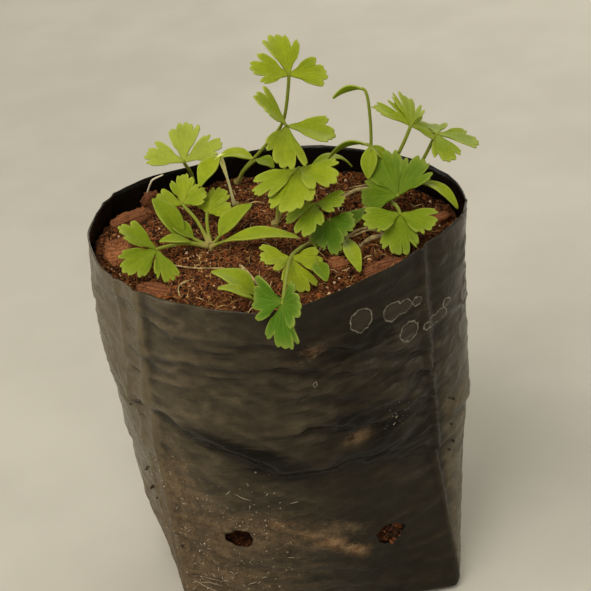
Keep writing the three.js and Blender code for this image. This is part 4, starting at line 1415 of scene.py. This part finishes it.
# %% Dry stalks
DRY_STALKS = [
    [[20.5, -7.5, 100.2], [25, -4.8, 101.3], [29.5, -6.2, 101.4], [31.2, -12.5, 100.6]],
    [[17, 18.5, 100.6], [23, 21.5, 102], [29.5, 22.5, 101.2]]]
STALK_RADIUS = 0.6
THREADS = [                       # points and radius; the first is the palest
    ([[-34.7, 30.5, 105.2], [-33.4, 29.4, 108.2], [-32.4, 28.8, 109.8], [-29.2, 27.5, 111.6]],
     0.26),
    ([[-10.6, -10, 101.2], [-8.6, -15.6, 101.9], [-7.2, -19.5, 101.7], [-3.9, -24.9, 100.9]], 0.5),
    ([[17.4, -8.2, 101.0], [18.9, -3.6, 102.1], [22, -1.3, 102.2], [26.9, -0.4, 102.0],
      [30.5, -8, 101.6], [31.2, -13.6, 100.9]], 0.34),
    ([[10.2, -7.9, 100.9], [13.9, -1.3, 101.8], [18.9, -4.9, 102.6], [25, -2.7, 102.5],
      [29.9, -6.2, 101.4]], 0.28),
    ([[-29, -4, 100.7], [-22, -9.5, 101.8], [-14.5, -10.5, 101.2]], 0.2),
    ([[33, 18, 100.6], [28.5, 22.5, 102.4], [21.5, 24.5, 101.6]], 0.22),
    ([[-21, -12, 100.3], [-26.5, -17.5, 101.7], [-26, -24, 100.6]], 0.24)]


STRAW_COLORS = (0.20, 0.135, 0.045), (0.56, 0.42, 0.17)
PALE_STRAW = (0.66, 0.60, 0.46)


def dry_finish():
    """Buff and dry, with darker streaks. The tone makes a thread paler."""
    material, tree, shader = new_finish("dry_stalk", 0.8, Specular_IOR_Level=0.15)
    streaks = noise(object_place(tree), 700, 4)
    color = mix(ramp(streaks, 0.35, 0.65), *STRAW_COLORS)
    color = mix(painted(tree, "tone"), color, PALE_STRAW)
    complete(shader, color, streaks, 0.6, 0.0003)
    return material


DRY = dry_finish()


def dry_tube(points, radius, tone, seed):
    """A tube along the points whose radius wanders by a fifth, slender at its two ends."""
    path = smooth_path(points, 12)
    taper = np.clip(3 * np.sin(np.pi * np.linspace(0.06, 0.94, len(path))), 0.4, 1)
    uneven = radius * (1 + 0.22 * lattice_noise(path, 1.7, seed)) * taper
    return stem(path, uneven, {"tone": tone})


for number, line in enumerate(DRY_STALKS, 1):
    points, quads, values = dry_tube(line, STALK_RADIUS, 0.15, 60 + number)
    stalk = add_piece(f"old_stalk_{number}", points, quads, DRY, values)
    dress(stalk, "dry", f"dry_stalk_{number}")
points, quads, values = joined([dry_tube(line, radius, 1.0 if k == 0 else 0.1, 70 + k)
                                for k, (line, radius) in enumerate(THREADS)])
dress(add_piece("dry_threads", points, quads, DRY, values), "dry")

# %% [markdown]
# ## Leaves
# A parsley leaf carries three leaflets at one joint. A leaflet is a fan of rays from its base to
# a rim of seven rounded teeth, one vein to each tooth. Between two notches the rim is a straight
# line plus a bulge of 1-|2t-1|^2.4 towards the tooth's tip, which gives round shoulders and sharp
# notches. The two halves rise from the midrib like a shallow keel, the tip droops by the square
# of its distance, the veins are sunken lines, and the blade swells a little between them.

# %% Leaflets
BLADE = 0.36                      # thickness of a blade
SEED_BLADE = 0.42                 # a seed leaf is fleshier
HUB = 0.9                         # a leaf's joint
NECK = 0.25, 0.32                 # where a leaflet starts: how far out, and its half width
KEEL = 0.18                       # how steeply the halves of a blade rise
DROOP = 0.12                      # how far a tip bends down, as a share of its length
TOOTH_STEPS = 14
ROWS = 22
# Tips of the teeth, and the notches before and after them: degrees from the midrib, and reach.
TIPS = np.array([[-31, .77], [-22, .91], [-11, .97], [0, 1], [11, .97], [22, .91], [31, .77]])
ENDS = np.array([[-35, .46], [-26, .77], [-16, .79], [-5, .91],
                 [5, .91], [16, .79], [26, .77], [35, .46]])
NOTCH_SHARE = np.array([0.7, 1.2, 0.7, 0.7, 1.2, 0.7])   # two deep notches part three lobes


def fan_points(marks, broad):
    """Angle and reach as flat places; `broad` widens the fan."""
    angle = np.radians(marks[:, 0])
    return np.stack([marks[:, 1] * np.cos(angle), broad * marks[:, 1] * np.sin(angle)], -1)


def leaflet_rim(cut, broad, luck):
    """The toothed rim of a leaflet of length 1, and how far each point is from its tooth's vein.
    Chance makes some notches deep and others hardly there, and no two teeth quite alike."""
    ends, tips = ENDS.copy(), TIPS.copy()
    depth = cut * NOTCH_SHARE * luck.uniform(0.65, 1.35, 6)
    ends[1:-1, 1] = 1 - (1 - ends[1:-1, 1]) * depth
    ends[1:-1, 0] += luck.normal(0, 0.8, 6)
    ends, tips = fan_points(ends, broad), fan_points(tips, broad)
    tips = tips * luck.uniform(0.96, 1.03, 7)[:, None]
    t = np.linspace(0, 1, TOOTH_STEPS, endpoint=False)
    line = ends[:-1, None] + (ends[1:] - ends[:-1])[:, None] * t[:, None]
    bulge = (tips - (ends[:-1] + ends[1:]) / 2)[:, None] * (1 - np.abs(2 * t - 1) ** 2.4)[:, None]
    rim = np.concatenate([(line + bulge).reshape(-1, 2), ends[-1:]])
    half_width = np.linalg.norm(ends[1:] - ends[:-1], axis=1)[:, None] / 2
    away = np.append((half_width * np.abs(2 * t - 1)).ravel(), half_width[-1])
    return rim, away


def leaflet(matrix, length, cut, broad, tone, luck):
    """One closed leaflet in its place: points, quads and what the finish needs to know. Rays run
    from the neck to the rim, and the sides are pinched, so they bow inwards."""
    rim, away = leaflet_rim(cut, broad, luck)
    out = (np.linspace(0, 1, ROWS) ** 0.85)[:, None]
    across_base = np.linspace(-1, 1, len(rim))
    neck, half_width = NECK
    x = neck + (rim[:, 0] * length - neck) * out
    y = half_width * across_base + (rim[:, 1] * length - half_width * across_base) * out
    y = y * (1 - 0.22 * np.sin(np.pi * out ** 0.8) * np.abs(across_base) ** 3)
    off_vein = away * length * out
    groove = np.exp(-(off_vein / 0.18) ** 2)
    swell = 0.035 * np.sin(np.pi * out ** 1.4) * (1 - np.exp(-(off_vein / 0.5) ** 2))
    sway, twist = luck.uniform(0, 6.28), luck.normal(0, 0.05)
    wave = 0.026 * length * out ** 2 * np.sin(1.5 * np.pi * across_base + sway)
    z = (KEEL * (np.sqrt(y ** 2 + 0.5) - 0.7) - DROOP * x ** 2 / length
         + swell + wave + twist * x * y / length - 0.03 * groove * (1 - 0.7 * out))
    grid = np.stack([x, y, z], -1) @ matrix[:3, :3].T + matrix[:3, 3]
    flat = np.zeros_like(x)
    return shell(grid, BLADE, {
        "vein": groove * (1 - 0.55 * out), "along": x, "off_vein": off_vein,
        "margin": out ** 9 + flat, "tone": tone + flat})


print("points on a leaflet's rim:", len(leaflet_rim(1, 1, np.random.default_rng(0))[0]))


# %% Whole leaves
def turning(roll, tilt, turn):
    """Rotation matrix, in degrees: about X first, then Y, then Z."""
    return np.array([turned(row, (roll, tilt, turn)) for row in np.eye(3)]).T


def placed(rotation, spot=(0, 0, 0)):
    """A matrix that turns first and then moves to the spot."""
    matrix = np.eye(4)
    matrix[:3, :3], matrix[:3, 3] = rotation, spot
    return matrix


SIDE_SHARE = 0.86                 # length of a side leaflet to that of the middle one
LEAF_LABELS = ("vein", "along", "off_vein", "margin", "tone", "share", "stalk", "pale")


def filled(part, **more):
    """The part with every label that the leaf finish reads. Those it lacks come from `more`, or
    else are 0."""
    points, quads, values = part
    return points, quads, {key: values.get(key, np.full(len(points), float(more.get(key, 0))))
                           for key in LEAF_LABELS}


CROWN_RADIUS = 0.7
STALK_STEPS = 14                  # points for each piece of a stalk's path


def crown_start(crown, following):
    """A petiole starts a little to the side of the crown's middle, on the side it makes for."""
    way = (np.asarray(following, float) - crown) * [1, 1, 0]
    return crown + CROWN_RADIUS * way / max(np.linalg.norm(way), 1e-6)


def petiole(crown, path, tone, luck, radius=0.6, pale=0.0):
    """The stalk of a leaf, from a wider foot to a slender neck. Stalks that share a way stand
    beside each other, never quite in one place."""
    path = [np.asarray(point, float) for point in path]
    apart = 0.3 - 0.2 * pale
    path[:-2] = [point + [*luck.uniform(-apart, apart, 2), 0] for point in path[:-2]]
    line = smooth_path([crown_start(crown, path[0]), *path], STALK_STEPS)
    share = np.linspace(0, 1, len(line))
    radii = radius * (0.86 + 0.5 * np.exp(-(share / 0.1) ** 2) - 0.1 * share)
    return filled(stem(line, radii, {"share": None, "tone": tone, "stalk": 1, "pale": pale}))


def whole_leaf(crown, leaf, luck):
    """A petiole and its three leaflets."""
    matrix = placed(turning(leaf["bank"], -leaf["rise"], leaf["heading"]), leaf["joint"])
    end = (matrix @ [HUB / 2, 0, 0, 1])[:3]
    tone = leaf["tone"]
    parts = [petiole(crown, [*leaf["via"], leaf["joint"], end], tone, luck)]
    for side, share in ((-1, SIDE_SHARE), (0, 1), (1, SIDE_SHARE)):
        spread = placed(turning(0, -leaf["fold"] * abs(side), side * leaf["spread"]))
        blade = leaflet(matrix @ spread, share * leaf["length"], leaf["cut"], leaf["broad"],
                        tone, luck)
        parts.append(filled(blade, pale=leaf["pale"]))
    return parts


SEED_ROWS, SEED_COLUMNS = 46, 17
RIB_JOINT = 9                     # the stalk of a seed leaf ends at this row of its rib


def seed_leaf(crown, leaf, luck):
    """A smooth seed leaf. Its rib arches by 4s(1-s) and its half width goes with a sine."""
    base, tip = np.array(leaf["base"], float), np.array(leaf["tip"], float)
    ahead = tip - base
    left = unit(np.array([-ahead[1], ahead[0], 0]))
    roll = math.radians(leaf["roll"])
    left = left * math.cos(roll) + np.cross(unit(ahead), left) * math.sin(roll)
    up = unit(np.cross(ahead, left))
    s, v = np.linspace(0, 1, SEED_ROWS)[:, None], np.linspace(-1, 1, SEED_COLUMNS)[None]
    rounding = np.sqrt(1 - np.clip((s - 0.94) / 0.062, 0, 1) ** 2)
    reach = (0.3 + (leaf["width"] / 2 - 0.3) * np.sin(np.pi * s ** 0.9)) * rounding + 0.02
    rib = base + ahead * s + up * (4 * leaf["lift"] * s * (1 - s))
    groove = np.exp(-(v * reach / 0.25) ** 2)
    wave = 0.10 * reach * np.sin(7 * s + luck.uniform(0, 6.28)) * v ** 2 * np.sign(v)
    height = KEEL * reach * np.abs(v) ** 1.5 - 0.12 * groove * (1 - s) + wave
    grid = rib[:, None] + left * (reach * v)[..., None] + up * height[..., None]
    flat = np.zeros_like(height)
    length = np.linalg.norm(ahead)
    tone, pale = leaf["tone"], leaf["pale"]
    blade = shell(grid, SEED_BLADE, {
        "vein": groove * (1 - s) ** 0.7, "along": s * length + flat, "off_vein": np.abs(v) * reach,
        "margin": np.abs(v) ** 9 + flat, "tone": tone + flat})
    path = [*leaf["via"], base, rib[RIB_JOINT]]
    return [filled(blade), petiole(crown, path, tone, luck, 0.52 - 0.12 * pale, pale)]


print("numbers at each point of a leaf:", ", ".join(LEAF_LABELS))

# %% [markdown]
# ## The nine clumps
# Each clump has a foot in the mix, leaves and seed leaves. The numbers are those of the solids:
# `heading` and `rise` give the way of the middle leaflet, `bank` its tilt about that way,
# `spread` and `fold` the place of the side leaflets. `tone` is painted light: it runs from 0 for
# the deep green of a leaf in shade to 1 for the yellow-green of a leaf with the light behind it,
# and `via` lists points that the stalk passes on its way from the foot.

# %% The table of clumps
def leaf(joint, heading, rise, bank, length, spread, fold, tone, via, cut=1, broad=1, pale=0):
    """A true leaf. `cut` deepens the notches, `broad` widens the leaflets, `pale` paints the blades
    paler, as painted light from behind.
    """
    return dict(joint=joint, heading=heading, rise=rise, bank=bank, length=length,
                spread=spread, fold=fold, tone=tone, via=via, cut=cut, broad=broad, pale=pale)


def blade_leaf(base, tip, width, lift, tone, via=(), roll=0, pale=0.0):
    """A seed leaf from base to tip. `lift` is the height of its arch, `roll` its turn about
    its own length."""
    return dict(base=base, tip=tip, width=width, lift=lift, tone=tone, via=via, roll=roll,
                pale=pale)


PALE_VIA, RIGHT_VIA = [[-11.5, 23.5, 109]], [[26.6, 12, 110]]
CLUMPS = {
    "seedling_left": ([-18, 3], [
        leaf([-24.5, 18, 106.7], 85, 41, -9, 9.2, 76, 19, 0.80, [[-21, 11, 104.5]]),
        leaf([-18, 14, 105.2], 40, 36, 6, 8.2, 52, 0, 0.75, [[-18.3, 9, 104]]),
        leaf([-31.8, -4, 105.8], 234, 6, -42, 13.4, 60, 11, 0.62, [[-25, 0.5, 104]], broad=0.8),
    ], [
        blade_leaf([-25.5, 5, 103], [-32, 12, 112.5], 6.6, 1.6, 0.6),
        blade_leaf([-22.5, 5.5, 102.6], [-29.7, 9, 107.2], 5.4, 0.8, 0.5),
        blade_leaf([-22.5, 2.5, 102.4], [-31, -0.5, 106], 4.6, 1, 0.7),
        blade_leaf([-15.3, 5, 102.4], [-5.7, 12, 107], 7, 1.2, 0.75),
        blade_leaf([-14, 1.3, 102.6], [5.6, -7, 105.4], 6, 1.6, 0.85),
    ]),
    "seedling_front": ([-4, -27], [], [
        blade_leaf([-7, -28, 102.2], [-17.4, -24, 108.3], 7.4, 1.6, 0.7),
        blade_leaf([-7.5, -31, 102.4], [-16, -33.3, 108.8], 5, 1, 0.85),
    ]),
    "seedling_back_left": ([-21.6, 35.5], [
        leaf([-23, 28, 114.5], 83, 33, -6, 13.6, 69, 9, 0.92, [[-21.8, 33, 107.5]],
             pale=0.15, broad=0.8),
    ], []),
    "seedling_pale": ([-10.4, 25], [], [
        blade_leaf([-12.6, 22, 117.7], [-19, 16, 112.2], 6, 1.2, 0.9, PALE_VIA, 0, 1.0),
        blade_leaf([-12.6, 22, 117.7], [-3.8, 20, 116.4], 6, 1.2, 0.95, PALE_VIA, 0, 1.0),
    ]),
    "seedling_tall": ([-9.5, 39], [
        leaf([8.7, 22, 138.7], 96, 39, 25, 13.2, 84, 9, 0.88,
             [[-7.4, 37, 104.6], [-1.2, 33, 112.5], [4.9, 28, 121.1], [6.8, 25, 127]]),
    ], [blade_leaf([-3, 31, 110.6], [1.4, 27, 109.4], 4.4, 1, 0.5, [[-6.5, 35, 106]])]),
    "seedling_middle": ([-0.2, 11], [
        leaf([6.4, 12, 128.7], 264, -12, -38, 15.3, 86, 27, 0.82,
             [[1.3, 11, 106.2], [5, 13, 118]]),
    ], [blade_leaf([11.6, 22, 110.5], [23, 26, 107.2], 4.4, 3, 0.7, [[5, 16, 105.5]])]),
    "seedling_centre": ([9, -1], [
        leaf([8.1, 5, 119.5], 255, -12, 12, 16.2, 54, 6, 0.78, [[9.5, 2, 110]]),
        leaf([11.2, -2, 112], 251, -14, 22, 11, 76, 3, 0.5, [[11.6, -1.2, 107]]),
        leaf([14.2, -5, 108.4], 270, -38, 34, 9.4, 60, 0, 0.08, [[12, -2.5, 104.5]]),
        leaf([2.8, -17, 105.4], 282, -20, -24, 11, 78, 9, 0.95, [[6, -8, 103]], broad=1.15),
        leaf([-0.4, -49.4, 112.1], 250, -65, 36, 11.2, 92, 17, 0.05,
             [[6, -8, 103], [2.8, -17, 105.4], [1.2, -32, 109]], broad=1.4),
    ], [blade_leaf([9.2, -17, 102.8], [11, -27, 103], 4.2, 0.6, 0.3, [[9.6, -9, 103]])]),
    "seedling_right": ([25, 12], [
        leaf([33, 0, 110.2], 112, 42, -41, 13.4, 62, -2, 0.25, [[29.5, 7, 107]]),
        leaf([32.6, -6, 108], 261, -25, -8, 12.6, 60, 18, 0.5, [[29.5, 7, 106], [32, 0, 107.5]]),
        leaf([38.4, 6, 127], 85, 17, 38, 12.9, 57, -9, 0.7,
             [[28, 10.5, 108], [34, 8.5, 117]], cut=2),
        leaf([45.5, 10, 121.6], 9, -18, 6, 12.3, 83, -6, 0.62, [[33, 11.5, 107], [40.4, 11, 113]]),
    ], [
        blade_leaf([39.7, 4, 110.9], [48, -4, 106], 3.6, 2.4, 0.75, [[33, 9, 108.5]]),
        blade_leaf([27.6, 10, 136.9], [19.3, 14, 133.9], 2.4, 1.6, 0.6,
                   [[27.1, 12.5, 110], [28.5, 11, 127.4]], 50),
        blade_leaf([27.9, 11, 120], [16.3, 16, 115.5], 3, 2.4, 0.6, RIGHT_VIA, 40),
        blade_leaf([27.9, 11, 120], [25.9, 5, 113.6], 4.4, 0.6, 0.7, RIGHT_VIA),
        blade_leaf([27.9, 11, 120], [31.3, 9, 116.4], 4, 0.6, 0.65, RIGHT_VIA),
    ]),
    "seedling_small": ([16.5, -2], [], [
        blade_leaf([18.4, -0.6, 102.6], [24.2, 5, 104.8], 4.6, 0.6, 0.25),
        blade_leaf([17.8, -5, 102.1], [19.8, -24, 102.6], 4.2, 0.8, 0.8),
    ]),
}


print("leaves:", sum(len(leaves) for _, leaves, _ in CLUMPS.values()),
      "and seed leaves:", sum(len(seed_leaves) for *_, seed_leaves in CLUMPS.values()))

# %% [markdown]
# ## Green, and light through the blade
# A young blade is so thin that light comes through it, so it has a little scattering below its
# surface, mostly of green and red light. Its colour comes from the mesh: the tone of the leaf,
# which paints light and shade as deep green for a shaded leaf and yellow-green for a lit one, the
# distance from a vein, and the distance along it, which also draws the fine side veins.

# %% The leaf finish
# Painted light: the tone picks between the green of a leaf in shade and the yellow-green of a lit
# one; the pale blend lightens a blade with light behind it.
SHADED_GREEN, LIT_GREEN = (0.050, 0.135, 0.003), (0.29, 0.345, 0.012)
CLOUDS = (0.80, 0.86, 0.8), (1.0, 1.0, 1.0)
VEIN_COLOR, MARGIN_COLOR, BACKLIT_PALE = (0.48, 0.52, 0.09), (0.50, 0.54, 0.12), (0.48, 0.52, 0.20)
STALK_FOOT, STALK_GREEN = (0.34, 0.29, 0.09), (0.21, 0.25, 0.03)
WAN_STALK, WAN_END = (1.0, 0.97, 0.44), (0.40, 0.46, 0.08)
TWIG_STEP, TWIG_SLANT = 1.7, 1.2      # millimetres between side veins, and how they lean


def leaf_finish():
    """Soft green blades with paler sunken veins and rims, on olive stalks with pale feet. The green
    is painted light: deep in shade, yellow where lit, paler where light comes through.
    """
    material, tree, shader = new_finish("parsley", 0.55, Subsurface_Weight=0.25,
                                        Subsurface_Radius=(0.9, 1.0, 0.25),
                                        Subsurface_Scale=0.001, Specular_IOR_Level=0.1)
    spot = object_place(tree)
    tone, vein, off, along, margin, pale, share, is_stalk = painted(
        tree, "tone", "vein", "off_vein", "along", "margin", "pale", "share", "stalk")
    cloudy, _ = mottle(spot, 260, *CLOUDS)
    blade = mix(1.0, mix(tone, SHADED_GREEN, LIT_GREEN), cloudy, blend="MULTIPLY")
    rows = maths("FRACT", (along - TWIG_SLANT * off) / TWIG_STEP)
    twig = ramp(abs(rows - 0.5), 0.07, 0.0)
    blade = mix(0.12 * maths("MAXIMUM", vein, 0.35 * twig), blade, VEIN_COLOR)
    blade = mix(0.3 * margin, blade, MARGIN_COLOR)
    # Painted light: a blade with light behind it is made paler.
    blade = mix(pale, blade, BACKLIT_PALE)
    stalk = mix(ramp(share, 0.0, 0.22), STALK_FOOT, STALK_GREEN)
    stalk = mix(pale, stalk, mix(ramp(share, 0.72, 0.9), WAN_STALK, WAN_END))
    grain = noise(spot, 2600, 2)
    complete(shader, mix(is_stalk, blade, stalk), 0.35 * grain - twig, 0.25, 0.0002)
    return material


PARSLEY = leaf_finish()
print("nodes in the leaf finish:", len(PARSLEY.node_tree.nodes))


# %% Growing the clumps
FIRST_SEED = 300
ROOT_DEPTH, ROOT_LENGTH, ROOT_RINGS = 8, 9.8, 12
CROWN_LIFT = 1.5              # how far the crown stands over the level of the mix


def make_clump(name, foot, leaves, seed_leaves, seed):
    """A taproot at the foot, which widens towards the crown, and every leaf that grows there.
    Each clump has a generator of its own, so a change to one leaves the others as they are."""
    luck = np.random.default_rng(seed)
    level = float(ground(*np.array(foot, float)))
    crown = np.array([*foot, level + CROWN_LIFT])
    root = np.array([[*foot, level - ROOT_DEPTH + up]
                     for up in np.linspace(0, ROOT_LENGTH, ROOT_RINGS)])
    thick = np.linspace(0.5, 1.05, ROOT_RINGS)
    parts = [filled(stem(root, thick, {"share": 0.0, "tone": 0.4, "stalk": 1}))]
    for one in leaves:
        parts += whole_leaf(crown, one, luck)
    for one in seed_leaves:
        parts += seed_leaf(crown, one, luck)
    points, quads, values = joined(parts)
    piece = add_piece(name.replace("seedling", "parsley"), points, quads, PARSLEY, values)
    return dress(piece, "leaf", name)


for seed, (name, clump) in enumerate(CLUMPS.items(), FIRST_SEED):
    make_clump(name, *clump, seed)
